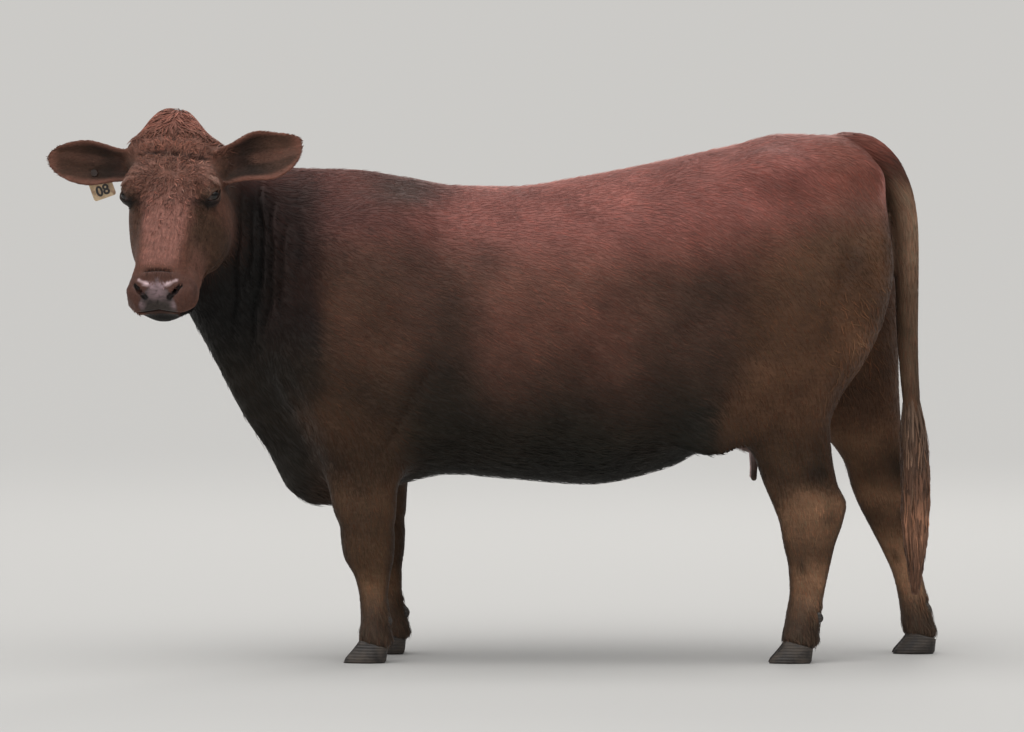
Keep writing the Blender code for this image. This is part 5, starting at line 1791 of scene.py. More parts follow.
    def ears(self, s: Sites) -> Array:
        """Painted shade inside and toward the root, brown behind, a redder rim."""
        tone = Tone.EAR_BACK.on(s.p)
        for region, ear in zip(EAR_REGIONS, EARS):
            here = s.of(region) > 0.02
            if not here.any():
                continue
            t, angle, rise = self.body.ear_place(s.p[here], ear)
            inside = fall(-0.0012, 0.0012, rise)
            # painted shade inside the cup
            some = over(tone[here], Tone.EAR_INSIDE, inside)
            ridge = ease(0.2, 0.8, np.sin(angle * 6.5 + 2.5 * t + 1.0)) * ease(0.35, 0.55, t)
            # painted shade toward the root
            some = over(some, Tone.JAW_SHADE, fall(0.2, 0.55, t) * (0.35 + 0.35 * inside))
            some = over(some, Tone.EAR_BACK, inside * ease(0.38, 0.75, t) * 0.7)
            some = over(some, Tone.EAR_RIDGE, ridge * inside * (0.45 if ear.side < 0 else 0.75))
            rim = ease(0.7, 0.92, np.abs(angle) / np.maximum(self.body.ear_reach(ear, t, angle), 0.05))
            rim = np.maximum(rim, ease(0.86, 0.96, t))
            tone[here] = over(some, Tone.EAR_RIM, rim * (0.6 if ear.side < 0 else 0.85))
        return tone

    def tail(self, s: Sites) -> Array:
        """As the rump at its root with a band of painted shade across its head, darker down, orange-brown
        at the switch.
        """
        z = s.p[:, 2]
        tone = Tone.TAIL.on(z)
        # painted shade in a band across the head of the tail
        tone = over(tone, Tone.RUMP, ease(1.2, 1.3, z)) * (1 - 0.62 * bell(z - 1.265, 0.04))[:, None]
        tone = over(tone, Tone.LEG, fall(0.84, 1.1, z) * ease(0.6, 0.68, z) * 0.6)
        return over(tone, Tone.SWITCH, fall(0.62, 0.72, z))

    def tones(self, s: Sites) -> Array:
        """Return the colour of each place: the regions' tones by their shares, with patches of painted
        light and shade and soft blotches.

        Args:
            s: places on the skin.

        Returns:
            A colour for each place.
        """
        tone = self.trunk(s) * s.of(Region.TRUNK)[:, None]
        for made, regions in (
            (self.legs(s), LEG_REGIONS), (self.head(s), (Region.HEAD,)),
            (self.ears(s), EAR_REGIONS), (self.tail(s), (Region.TAIL,)),
        ):
            tone += made * s.of(*regions)[:, None]
        # patches of painted light and shade on trunk and legs
        painted_light_gain = np.ones(len(s.p))
        for x, z, wide, tall, more in LIGHT_AND_SHADE_PATCHES:
            painted_light_gain += more * spot(s.p[:, 0] - x, s.p[:, 2] - z, wide, tall)
        tone *= (1 + (painted_light_gain - 1) * s.of(Region.TRUNK, *LEG_REGIONS))[:, None]
        blotch = 0.12 * ripple(s.p, 0.16, 1) + 0.07 * ripple(s.p, 0.05, 2)
        return tone * (1 + blotch * (1 - 0.6 * s.of(Region.HEAD)))[:, None]

    def bare(self, s: Sites) -> Array:
        """Return how bare of hair each place is: pad, lids, teats.

        Args:
            s: places on the skin.

        Returns:
            From 0, in full coat, to 1, bare.
        """
        a, side, b = s.q.T
        head = s.of(Region.HEAD)
        place = np.stack([a, np.abs(side), b], 1)
        pad = fall(0.003, 0.007, np.minimum(self.wing(place), self.nostril(place))) * head
        lips = bell(b + 0.041 + 0.3 * (0.305 - a), 0.006) * ease(0.17, 0.2, a) * head
        eye = place - np.asarray(HEAD.eye)
        lid = fall(0.023, 0.029, norm(eye)) * head
        teat = fall(0.006, 0.016, teat_distance(s.p))
        hoof = fall(0.05, 0.058, s.p[:, 2])
        bare = np.maximum(pad, self.pad(s)) + lips + lid + teat
        return np.clip(bare + hoof * s.of(*LEG_REGIONS), 0, 1)


# ---------------------------------------------------------------- the skin piece


# how the names of the nodes that aren't flesh start
KEPT = ("eye_", "ear_tag", "tail_switch", "fore_outer", "fore_inner", "hind_outer", "hind_inner")


@dataclass
class Skin:
    """The one skin that stands for all her flesh."""

    body: Body
    markings_and_light: MarkingsAndLight
    lattice: Lattice = field(default_factory=Lattice)
    triangles: int = 182_000
    low: Vec = (-1.17, -0.7, 0.028)
    high: Vec = (1.2, 0.4, 1.45)
    points: Array = field(default_factory=lambda: np.zeros((0, 3)))
    normals: Array = field(default_factory=lambda: np.zeros((0, 3)))
    faces: Array = field(default_factory=lambda: np.zeros((0, 3), int))
    middles: Sites | None = None  # of the triangles
    teat_reach: float = 0.014  # how far from the teats the skin is cut finer
    teat_laid: float = 0.012  # how far from them its corners are laid on the surface
    probe: float = 0.0006  # half the step that finds the field's slope
    nudge: float = 0.003  # the furthest a corner moves at a time

    def build(self) -> Object:
        """Draw the field's surface, thin it, colour it and put it in the scene."""
        points, quads = self.lattice.surface(self.body.skin, self.low, self.high)
        log.info("skin drawn: %d points, %d quads", len(points), len(quads))
        whole = placed("thick_skin", new_mesh("thick_skin", points + SHIFT, quads))
        thin = whole.modifiers.new("thin", "DECIMATE")
        thin.ratio = min(1.0, self.triangles / (2 * len(quads)))
        thin.use_collapse_triangulate = True
        graph = bpy.context.evaluated_depsgraph_get()
        mesh = bpy.data.meshes.new_from_object(whole.evaluated_get(graph))
        mesh.name = "skin"
        bpy.data.objects.remove(whole)
        self.refine(mesh)
        mesh.shade_smooth()
        self.read(mesh)
        sites = survey(self.body, self.points, self.normals)
        paint(mesh, TONE, self.markings_and_light.tones(sites))
        paint(mesh, BARE, np.repeat(self.markings_and_light.bare(sites)[:, None], 3, axis=1))
        corners = self.points[self.faces]
        self.middles = survey(self.body, corners.mean(1), unit(self.normals[self.faces].mean(1)))
        names = [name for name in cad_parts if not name.startswith(KEPT)]
        return add_piece("skin", mesh, HideFinish().make(), "coat", *names)

    def refine(self, mesh: Mesh) -> None:
        """Cut the triangles on the teats finer and lay their corners on the surface.

        Args:
            mesh: the thinned skin, changed in place.
        """
        self.read(mesh)
        close = teat_distance(self.points) < self.teat_reach
        fine = bmesh.new()
        fine.from_mesh(mesh)
        edges = [edge for edge in fine.edges if all(close[corner.index] for corner in edge.verts)]
        bmesh.ops.subdivide_edges(fine, edges=edges, cuts=2, use_grid_fill=True)
        bmesh.ops.triangulate(fine, faces=[face for face in fine.faces if len(face.verts) > 3])
        fine.to_mesh(mesh)
        fine.free()
        self.read(mesh)
        close = teat_distance(self.points) < self.teat_laid
        spots = self.points[close]
        for _ in range(5):
            steps = np.eye(3) * self.probe
            rises = [self.body.skin(spots + step) - self.body.skin(spots - step) for step in steps]
            slope = np.stack(rises, 1) / (2 * self.probe)
            steep = np.maximum((slope**2).sum(1), 0.25)
            away = np.clip(self.body.skin(spots), -self.nudge, self.nudge)
            spots -= slope * (away / steep)[:, None]
        self.points[close] = spots
        mesh.vertices.foreach_set("co", (self.points + SHIFT).astype(np.float32).ravel())
        mesh.update()
        log.info("%d corners laid on the teats", close.sum())

    def read(self, mesh: Mesh) -> None:
        """Keep the skin's points, normals and triangles in the plan's coordinates.

        Args:
            mesh: the skin.
        """
        count = len(mesh.vertices)
        points, normals = np.empty(count * 3, np.float32), np.empty(count * 3, np.float32)
        mesh.vertices.foreach_get("co", points)
        mesh.vertices.foreach_get("normal", normals)
        self.points = points.reshape(-1, 3).astype(float) - SHIFT
        self.normals = normals.reshape(-1, 3).astype(float)
        mesh.calc_loop_triangles()
        faces = np.empty(len(mesh.loop_triangles) * 3, np.int32)
        mesh.loop_triangles.foreach_get("vertices", faces)
        self.faces = faces.reshape(-1, 3)

    def sample(self, density: Callable[[Sites], Array], seed: int) -> tuple[Array, Array]:
        """Scatter places over the skin, evenly for their density.

        Places are spaced evenly along the running total of area times density, with jitter, and
        fall at random inside their triangle.

        Args:
            density: places per square metre at sites on the skin.
            seed: of the jitter.

        Returns:
            The places and the normals there.
        """
        rng = np.random.default_rng(SEED + seed)
        corners = self.points[self.faces]
        area = norm(np.cross(corners[:, 1] - corners[:, 0], corners[:, 2] - corners[:, 0])) / 2
        running = np.cumsum(area * density(self.middles))
        count = int(running[-1])
        at = (np.arange(count) + rng.uniform(0, 1, count)) * (running[-1] / count)
        chosen = np.minimum(np.searchsorted(running, at), len(area) - 1)
        r1, r2 = np.sqrt(rng.uniform(0, 1, count)), rng.uniform(0, 1, count)
        weights = np.stack([1 - r1, r1 * (1 - r2), r1 * r2], 1)[:, :, None]
        faces = self.faces[chosen]
        place = (self.points[faces] * weights).sum(1)
        return place, unit((self.normals[faces] * weights).sum(1))


# ---------------------------------------------------------------- the coat


class Lie:
    """Which way the hair lies."""

    def trunk(self, s: Sites) -> Array:
        """Backward along the axis, sloping down the sides, steeper on neck and rump."""
        back = np.stack([np.cos(s.turned), np.sin(s.turned), np.zeros(len(s.u))], 1)
        side = fall(0.35, 0.95, np.abs(s.n[:, 2]))
        slope = 0.5 + 0.45 * ease(0.45, 0.75, s.u) + 0.9 * ease(0.8, 1.0, s.p[:, 0])
        down = np.array([0.0, 0.0, -1.0]) * (slope * side)[:, None]
        return back + down

    def legs(self, s: Sites) -> Array:
        """Down, a little backward."""
        way = np.tile([0.22, 0.0, -1.0], (len(s.u), 1))
        way[:, 0] += 0.5 * ease(0.6, 0.9, s.p[:, 2])
        return way

    def head(self, s: Sites) -> Array:
        """Out of the whorl between the eyes: up to the poll, down the bridge, back over the cheeks.

        Args:
            s: places on the skin.

        Returns:
            A direction for each place.
        """
        a, side, _ = s.q.T
        from_whorl = a + 0.035
        ahead = np.tanh(from_whorl / 0.03)
        across = np.tanh(side / 0.05) * (0.9 - 0.5 * ease(0.0, 0.12, np.abs(from_whorl)))
        way = np.stack([ahead, across, np.zeros(len(a))], 1)
        cheek = fall(0.1, 0.6, s.n @ AXES[2])
        back = np.stack([0.15 + 0 * a, 0 * a, -1.0 + 0 * a], 1)
        way = way * (1 - cheek)[:, None] + back * cheek[:, None]
        crown = np.stack([0.55 + 0 * a, np.tanh((side + 0.02) / 0.02) * 1.1, -0.1 + 0 * a], 1)
        mop = fall(-0.175, -0.14, a)[:, None]
        return (way * (1 - mop) + crown * mop) @ AXES

    def tail(self, s: Sites) -> Array:
        """Down the tail."""
        z = s.p[:, 2]
        way = np.zeros((len(z), 3))
        way[:, 0] = ease(1.1, 1.3, z) * 1.2 + 0.05
        way[:, 2] = -(1.2 - ease(1.22, 1.32, z))
        return way

    def ways(self, s: Sites, stray: float, seed: int) -> Array:
        """Return a unit direction along the skin for each place.

        Args:
            s: the places.
            stray: how far single locks wander, in radians.
            seed: of the wandering.

        Returns:
            The directions.
        """
        way = unit(self.trunk(s)) * s.of(Region.TRUNK)[:, None]
        way += unit(self.legs(s)) * s.of(*LEG_REGIONS)[:, None]
        way += unit(self.head(s)) * s.of(Region.HEAD)[:, None]
        way += unit(self.tail(s)) * s.of(Region.TAIL)[:, None]
        for region, ear in zip(EAR_REGIONS, EARS):
            way += ear_frame(ear)[1] * s.of(region)[:, None]
        way = unit(way - s.n * (way * s.n).sum(1)[:, None])
        rng = np.random.default_rng(SEED + seed)
        turn = rng.normal(0, stray, len(way)) + 0.09 * ripple(s.p, 0.11, 5) + 0.04 * ripple(s.p, 0.035, 6)
        return way * np.cos(turn)[:, None] + np.cross(s.n, way) * np.sin(turn)[:, None]


@dataclass(frozen=True)
class Growth:
    """One kind of lock: where it grows, how thickly, and its shape."""

    name: str
    density: Callable[[Sites], Array]
    length: tuple[float, float]
    width: float
    height: float  # of its middle above the skin
    tip: float  # of its tip above the skin
    rings: int = 2
    curl: float = 0.0
    stray: float = 0.15
    thick: float = 0.26  # thickness over width
    hug: bool = True  # follows the skin along its length
    pale: float = 1.0
    fade: float = 0.16  # how much lighter its tip is than its root
    vary: float = 0.07  # how much locks differ in brightness
    round: float = 0.3  # how much its shading turns from edge to edge


@dataclass
class Coat:
    """Her coat: locks grown from places on the skin, joined into a few meshes."""

    skin: Skin
    lie: Lie = field(default_factory=Lie)
    limit: int = 185_000
    sink: float = 0.0012

    def locks(self, growth: Growth, seed: int) -> tuple[Array, ...]:
        """Grow one kind of lock.

        Each is a wedge with three edges, two beside it and one on top. Its middle line leaves the
        root under the skin, rises, follows the skin and sinks again; its width swells, then
        tapers to the tip.

        Args:
            growth: the kind of lock.
            seed: of its randomness.

        Returns:
            Points, triangles, a colour and a place on the map for each point, and the normals of
            each lock's corners.
        """
        rng = np.random.default_rng(SEED + 50 + seed)
        place, normal = self.skin.sample(growth.density, seed)
        sites = survey(self.skin.body, place, normal)
        bare = self.skin.markings_and_light.bare(sites)
        sites = sites.pick(bare < rng.uniform(0.2, 0.6, len(bare)))
        count = len(sites.p)
        way = self.lie.ways(sites, growth.stray, seed)
        across = np.cross(sites.n, way)
        length = rng.uniform(*growth.length, count)
        width = growth.width * rng.uniform(0.7, 1.3, count)
        swing = rng.normal(0, 1, count) * growth.curl
        phase = rng.uniform(0, 2 * math.pi, count)
        share = np.linspace(0, 1, growth.rings + 1)
        middles = []
        for t in share:
            bend = swing * length * t * t + growth.curl * 0.35 * length * np.sin(phase + 5.0 * t) * t
            middle = sites.p + way * (length * t)[:, None] + across * bend[:, None]
            rise = growth.height * math.sin(math.pi * min(t * 0.8 + 0.08, 1.0)) + growth.tip * t**1.5
            rise = rise if t > 0 else -self.sink
            if growth.hug and t > 0:
                off = np.clip(self.skin.body.skin(middle), -0.02, 0.02)
                middle -= sites.n * off[:, None]
            middles.append(middle + sites.n * rise)
        points, corners = self.wedges(np.stack(middles, 1), sites.n, across, width, growth)
        tone = self.skin.markings_and_light.tones(sites) * growth.pale
        bright = np.exp(rng.normal(0, growth.vary, count))[:, None]
        warm = 1 + rng.normal(0, 0.05, (count, 1)) * np.array([1.0, -0.5, -0.8])
        shade = 1 - growth.fade / 2 + growth.fade * np.concatenate([np.repeat(share[:-1], 3), [1.0]])
        colours = (tone * bright * warm)[:, None, :] * shade[None, :, None]
        places = self.patches(self.chart(sites), growth.rings)
        normals = self.normals(sites.n, across, growth)
        return points, corners, colours.reshape(-1, 3), places, normals

    def patches(self, chart: Array, rings: int) -> Array:
        """Spread each lock's corners over a small patch of the map, as wide as PATCH.

        Args:
            chart: each lock's place on the map.
            rings: how many rings a lock has.

        Returns:
            A place on the map for each point of each lock.
        """
        share = np.concatenate([np.repeat(np.linspace(0, 1, rings + 1)[:-1], 3), [1.0]])
        spread = np.concatenate([np.tile([-1.0, 1.0, 0.0], rings), [0.0]]) * PATCH / 2
        return (chart[:, None, :] + np.stack([spread, share * PATCH - PATCH / 2], 1)[None]).reshape(-1, 2)

    def normals(self, normal: Array, across: Array, growth: Growth) -> Array:
        """Shade each lock as the skin under it, rounded a little from edge to edge.

        Args:
            normal: the skin's normal at each root.
            across: the direction across each lock.
            growth: the kind of lock.

        Returns:
            A normal for each corner of each triangle of each lock.
        """
        up, side = [[-1.0] * 3], [[0.0] * 3]
        lean = (-growth.round, growth.round, 0.0)
        for k in range(growth.rings):
            last = k == growth.rings - 1
            for i, j in ((0, 1), (1, 2), (2, 0)):
                rise = -1.0 if i == 0 else 1.0
                tip = (lean[i] + lean[j]) / 2
                ends = (tip,) if last else (lean[j], lean[i])
                up += [[rise] * 3] * len(ends)
                side += [[lean[i], lean[j], end] for end in ends]
        up, side = np.asarray(up)[None, :, :, None], np.asarray(side)[None, :, :, None]
        return unit(normal[:, None, None, :] * up + across[:, None, None, :] * side).astype(np.float32)

    def wedges(
        self, middles: Array, normal: Array, across: Array, width: Array, growth: Growth
    ) -> tuple[Array, Array]:
        """Carry a triangle along each middle line: width times (1 - t)^0.6 of a swelling.

        Args:
            middles: the middle lines, one row of places for each lock.
            normal: the skin's normal at each root.
            across: the direction across each lock.
            width: each lock's width.
            growth: the kind of lock.

        Returns:
            Points and triangles.
        """
        count, rings = len(middles), growth.rings
        out = []
        for k in range(rings):
            t = k / rings
            half = width / 2 * (0.75 + 0.5 * math.sin(math.pi * min(t + 0.1, 0.5))) * (1 - t) ** 0.6
            edge = across * half[:, None]
            ridge = normal * (half * 2 * growth.thick)[:, None]
            out += [middles[:, k] - edge, middles[:, k] + edge, middles[:, k] + ridge]
        out.append(middles[:, rings])
        points = np.stack(out, 1)
        one = [(0, 2, 1)]
        for k in range(rings - 1):
            low, high = 3 * k, 3 * k + 3
            for i, j in ((0, 1), (1, 2), (2, 0)):
                one += [(low + i, low + j, high + j), (low + i, high + j, high + i)]
        last, tip = 3 * (rings - 1), 3 * rings
        one += [(last + i, last + j, tip) for i, j in ((0, 1), (1, 2), (2, 0))]
        corners = np.asarray(one)[None] + (np.arange(count) * (tip + 1))[:, None, None]
        return points.reshape(-1, 3), corners.reshape(-1, 3)

    def chart(self, s: Sites) -> Array:
        """Lay the skin out flat: each region is a strip, length along it by angle round it.

        Args:
            s: places on the skin.

        Returns:
            A place on the map for each.
        """
        region = s.share.argmax(1)
        angle = np.arctan2(s.off, s.p[:, 2] - 0.85) / (2 * math.pi) + 0.5
        out = np.stack([0.02 + 0.56 * (s.u + 1.1) / 2.1, 0.02 + 0.44 * angle], 1)
        head = region == Region.HEAD.value
        turn = np.arctan2(s.q[:, 1], s.q[:, 2] + 0.05) / (2 * math.pi) + 0.5
        out[head] = np.stack([0.62 + 0.36 * (s.q[:, 0] + 0.3) / 0.64, 0.02 + 0.36 * turn], 1)[head]
        for slot, (name, _) in enumerate(LEGS.items()):
            here = region == Region[name.upper()].value
            plan = self.skin.body.leg_curves[name]
            z = s.p[here, 2]
            front, rear, inner, outer = (f(z) for f in plan)
            x = s.p[here, 0] - (front + rear) / 2
            y = s.p[here, 1] * LEGS[name].side - (inner + outer) / 2
            round_it = np.arctan2(y, x) / (2 * math.pi) + 0.5
            out[here] = np.stack([0.02 + 0.44 * z / 1.3, 0.5 + 0.12 * slot + 0.11 * round_it], 1)
        tail = region == Region.TAIL.value
        round_it = np.arctan2(s.p[:, 1], s.p[:, 0] - 1.05) / (2 * math.pi) + 0.5
        out[tail] = np.stack([0.52 + 0.45 * s.p[:, 2] / 1.4, 0.9 + 0.08 * round_it], 1)[tail]
        for slot, (part, ear) in enumerate(zip(EAR_REGIONS, EARS)):
            here = region == part.value
            t, turn, rise = self.skin.body.ear_place(s.p[here], ear)
            flip = np.where(rise < 0, 0.0, 0.1)
            spot = (0.52 + 0.22 * np.clip(t, 0, 1) + 0.24 * slot, 0.52 + flip + 0.09 * (turn / 4.4 + 0.5))
            out[here] = np.stack(spot, 1)
        return np.clip(out, 0.003, 0.997)

    def build(self, growths: tuple[Growth, ...], material: Material) -> None:
        """Grow every kind of lock and put them in the scene, split where they are many.

        Args:
            growths: the kinds of lock.
            material: their finish.
        """
        for seed, growth in enumerate(growths):
            points, corners, colours, places, normals = self.locks(growth, seed * 7 + 3)
            each = 3 * growth.rings + 1
            per_lock = 6 * (growth.rings - 1) + 4
            count = len(points) // each
            parts = max(1, math.ceil(count * per_lock / self.limit))
            order = np.argsort(points[::each, 0], kind="stable")
            for number, some in enumerate(np.array_split(order, parts)):
                name = f"coat_{growth.name}" + (f"_{number + 1}" if parts > 1 else "")
                keep = (some[:, None] * each + np.arange(each)[None]).ravel()
                faces = np.arange(len(some))[:, None, None] * each + corners[:per_lock][None]
                self.add(
                    name, points[keep] + SHIFT, faces.reshape(-1, 3), colours[keep], places[keep],
                    normals[some], material,
                )

    def add(
        self, name: str, points: Array, faces: Array, colours: Array,
        places: Array, normals: Array, material: Material,
        slot: str = "coat", *nodes: str,
    ) -> Object:
        """Put one mesh of locks in the scene, with its colours, its map and its normals.

        Args:
            name: the piece's name.
            points: its points.
            faces: its triangles.
            colours: one for each point.
            places: on the map, one for each point.
            normals: one for each corner of each triangle.
            material: its finish.
            slot: not used; handed on to add_piece, which doesn't use it.
            *nodes: the nodes it stands for.

        Returns:
            The object.
        """
        mesh = new_mesh(name, points, faces)
        paint(mesh, TONE, colours)
        layer = mesh.uv_layers.new(name=BAKE_MAP)
        layer.data.foreach_set("uv", places[faces.ravel()].astype(np.float32).ravel())
        mesh.normals_split_custom_set(normals.reshape(-1, 3))
        return add_piece(name, mesh, material, slot, *nodes)


# ---- where each kind grows


def hairy(s: Sites) -> Array:
    """Return 1 where hair grows, less on the udder."""
    bag = fall(0.0, 0.03, ellipsoid(s.p, *TRUNK.udder[:2]))
    return 1 - 0.75 * bag * fall(0.54, 0.6, s.p[:, 2])


def on_trunk(s: Sites) -> Array:
    """Short flat hair of the trunk and neck."""
    return 18500 * s.of(Region.TRUNK) * hairy(s)


def on_legs(s: Sites) -> Array:
    """Short hair of the legs, thicker where they are thin."""
    return s.of(*LEG_REGIONS) * (12500 + 12000 * fall(0.45, 0.75, s.p[:, 2]))


def on_face(s: Sites) -> Array:
    """Fine hair of the face."""
    return 66000 * s.of(Region.HEAD)


def on_ears(s: Sites) -> Array:
    """Hair of the ears."""
    return 48000 * s.of(*EAR_REGIONS)


def on_tail(s: Sites) -> Array:
    """Hair of the tail."""
    return 24000 * s.of(Region.TAIL) * ease(0.6, 0.66, s.p[:, 2])


def on_poll(s: Sites) -> Array:
    """Long shaggy hair of the poll and the top of the forehead."""
    a, side, _ = s.q.T
    edge = ease(0.07, 0.11, np.abs(side)) * 0.05
    place = s.of(Region.HEAD) ** 3 * fall(0.105, 0.125, np.abs(side))
    return 26000 * place * fall(-0.175 + edge, -0.135 + edge, a)


def on_topline(s: Sites) -> Array:
    """Slightly raised hair along the back, thicker at the withers and the head of the tail."""
    ridge = bell(s.off, 0.05) * ease(0.3, 0.8, s.n[:, 2]) * s.of(Region.TRUNK)
    tuft = bell(s.p[:, 0] + 0.19, 0.045) + 1.4 * bell(s.p[:, 0] - 0.9, 0.05)
    return 3500 * ridge * (0.6 + 2.2 * tuft)


def on_underline(s: Sites) -> Array:
    """Longer hair under belly and brisket."""
    under = ease(0.35, 0.85, -s.n[:, 2]) * s.of(Region.TRUNK)
    return 5000 * under * hairy(s)


def on_thighs(s: Sites) -> Array:
    """Curly hair on the rear of the thighs."""
    x, _, z = s.p.T
    patch = spot(x - 0.93, z - 0.8, 0.07, 0.14)
    return 5000 * patch * s.of(*HIND_REGIONS, Region.TRUNK)


def on_forehead(s: Sites) -> Array:
    """Short curls between the poll and the eyes."""
    a, side, b = s.q.T
    edge = 0.04 * ripple(s.p, 0.03, 31)
    patch = ease(-0.165, -0.13, a) * fall(-0.03, 0.12, a + edge) * fall(0.075, 0.105, np.abs(side))
    return 24000 * patch * ease(0.0, 0.03, b) * s.of(Region.HEAD) ** 3


def on_fetlocks(s: Sites) -> Array:
    """Longer hair behind the fetlocks and over the coronets."""
    z = s.p[:, 2]
    behind = ease(-0.1, 0.5, s.n[:, 0]) * bell(z - 0.128, 0.024)
    return 30000 * s.of(*LEG_REGIONS) * np.maximum(behind, 0.8 * bell(z - 0.074, 0.012))


def on_brows(s: Sites) -> Array:
    """A tuft of longer hair over the outer half of each eye."""
    place = np.stack([s.q[:, 0], np.abs(s.q[:, 1]), s.q[:, 2]], 1)
    away = norm(place - (-0.021, 0.115, 0.058))
    return 160000 * fall(0.01, 0.02, away) * s.of(Region.HEAD)


FLAT = {"fade": 0.22, "vary": 0.1}
SHAGGY = {"rings": 4, "round": 0.7}
RAISED = {"rings": 3, "thick": 0.2}
GROWTHS = (
    Growth("trunk", on_trunk, (0.022, 0.034), 0.0034, 0.0006, 0.0005, stray=0.08, thick=0.14, **FLAT),
    Growth("legs", on_legs, (0.015, 0.023), 0.0032, 0.0005, 0.0005, stray=0.1, thick=0.15, **FLAT),
    Growth("face", on_face, (0.008, 0.012), 0.0019, 0.0003, 0.0003,
           stray=0.12, thick=0.14, fade=0.3, vary=0.13),
    Growth("ears", on_ears, (0.008, 0.013), 0.0018, 0.0004, 0.0004,
           stray=0.14, thick=0.16, fade=0.3, vary=0.16),
    Growth("tail", on_tail, (0.03, 0.05), 0.0036, 0.0008, 0.0014, stray=0.08, **RAISED),
    Growth("poll", on_poll, (0.024, 0.042), 0.0032, 0.003, 0.005,
           curl=0.16, stray=0.3, fade=0.6, vary=0.22, **SHAGGY),
    Growth("forehead", on_forehead, (0.012, 0.02), 0.0026, 0.0016, 0.0022,
           curl=0.45, stray=0.6, thick=0.3, fade=0.9, vary=0.32, **SHAGGY),
    Growth("fetlocks", on_fetlocks, (0.022, 0.034), 0.0034, 0.0016, 0.004,
           curl=0.05, stray=0.16, vary=0.12, **RAISED),
    Growth("topline", on_topline, (0.024, 0.036), 0.003, 0.0014, 0.0034, curl=0.08, stray=0.16, **RAISED),
    Growth("underline", on_underline, (0.024, 0.04), 0.0036, 0.0016, 0.005,
           curl=0.08, stray=0.2, **RAISED),
    Growth("thighs", on_thighs, (0.022, 0.036), 0.0032, 0.0016, 0.003,
           rings=4, curl=0.22, stray=0.28, thick=0.2, pale=1.5, fade=0.5),
    Growth("brows", on_brows, (0.01, 0.016), 0.0018, 0.0014, 0.003, curl=0.1, stray=0.3, **RAISED),
)


@dataclass
class Switch:
    """The tassel of long hair at the end of the tail."""

    coat: Coat
    count: int = 1500
    rings: int = 6
    top: float = 0.7
    bottom: float = 0.16

    def build(self, material: Material) -> Object:
        """Hang locks from the lower tail: each goes out, then down in a slow wave.

        A lock's middle line is the tail's line at its height, plus a radius that swells and
        draws in again, turned by an angle that wanders a little on the way down.

        Args:
            material: its finish.

        Returns:
            The object.
        """
        rng = np.random.default_rng(SEED + 400)
        line = self.coat.skin.body.tail_line
        root = rng.uniform(0.36, self.top, self.count) - 0.05 * rng.uniform(0, 1, self.count) ** 3
        length = np.clip(rng.uniform(0.12, 0.3, self.count), 0, root - self.bottom)
        angle = rng.uniform(0, 2 * math.pi, self.count)
        drift = rng.normal(0, 0.5, self.count)
        wide = rng.uniform(0.35, 1.0, self.count) ** 0.6
        phase = rng.uniform(0, 2 * math.pi, self.count)
        share = np.linspace(0, 1, self.rings + 1)
        swell = Curve((0.15, 0.21, 0.28, 0.36, 0.44, 0.52, 0.6, 0.66, 0.72),
                      (0.006, 0.016, 0.027, 0.035, 0.038, 0.036, 0.031, 0.026, 0.021))
        middles = []
        for t in share:
            z = root - length * t
            x = np.interp(z, line[::-1, 2], line[::-1, 0])
            y = np.interp(z, line[::-1, 2], line[::-1, 1])
            base = np.interp(root, line[::-1, 2], line[::-1, 3]) - 0.006
            radius = base * fall(0, 0.3, t) + swell(z) * wide * ease(0, 0.3, t)
            turn = angle + drift * t
            wave = 0.0045 * np.sin(phase + 7.0 * z / 0.1) * t
            out = radius + wave
            middles.append(np.stack([x + out * np.cos(turn), y + out * np.sin(turn), z], 1))
        normal = np.stack([np.cos(angle), np.sin(angle), np.zeros(self.count)], 1)
        across = np.stack([-np.sin(angle), np.cos(angle), np.zeros(self.count)], 1)
        growth = Growth("switch", on_tail, (0.1, 0.3), 0.0062, 0, 0, self.rings, round=0.7)
        width = growth.width * rng.uniform(0.6, 1.3, self.count)
        points, faces = self.coat.wedges(np.stack(middles, 1), normal, across, width, growth)
        shade = 0.55 + 0.6 * np.concatenate([np.repeat(share[:-1], 3), [1.0]])
        bright = np.exp(rng.normal(0, 0.34, self.count))[:, None]
        high = ease(0.56, 0.7, root)[:, None]
        tone = Tone.SWITCH.rgb * (1 - high) + Tone.TAIL.rgb * 0.7 * high
        colours = (tone * bright)[:, None, :] * shade[None, :, None]
        colours = colours.reshape(-1, 3) * (1 + 1.0 * bell(points[:, 2] - 0.335, 0.06))[:, None]
        chart = np.stack([0.52 + 0.45 * root / 1.4, 0.9 + 0.08 * angle / (2 * math.pi)], 1)
        places = self.coat.patches(chart, self.rings)
        normals = self.coat.normals(normal, across, growth)
        return self.coat.add(
            "coat_switch", points + SHIFT, faces, colours, places, normals, material,
            "switch_hair", "tail_switch",
        )


# ---------------------------------------------------------------- eyes, feet and tag


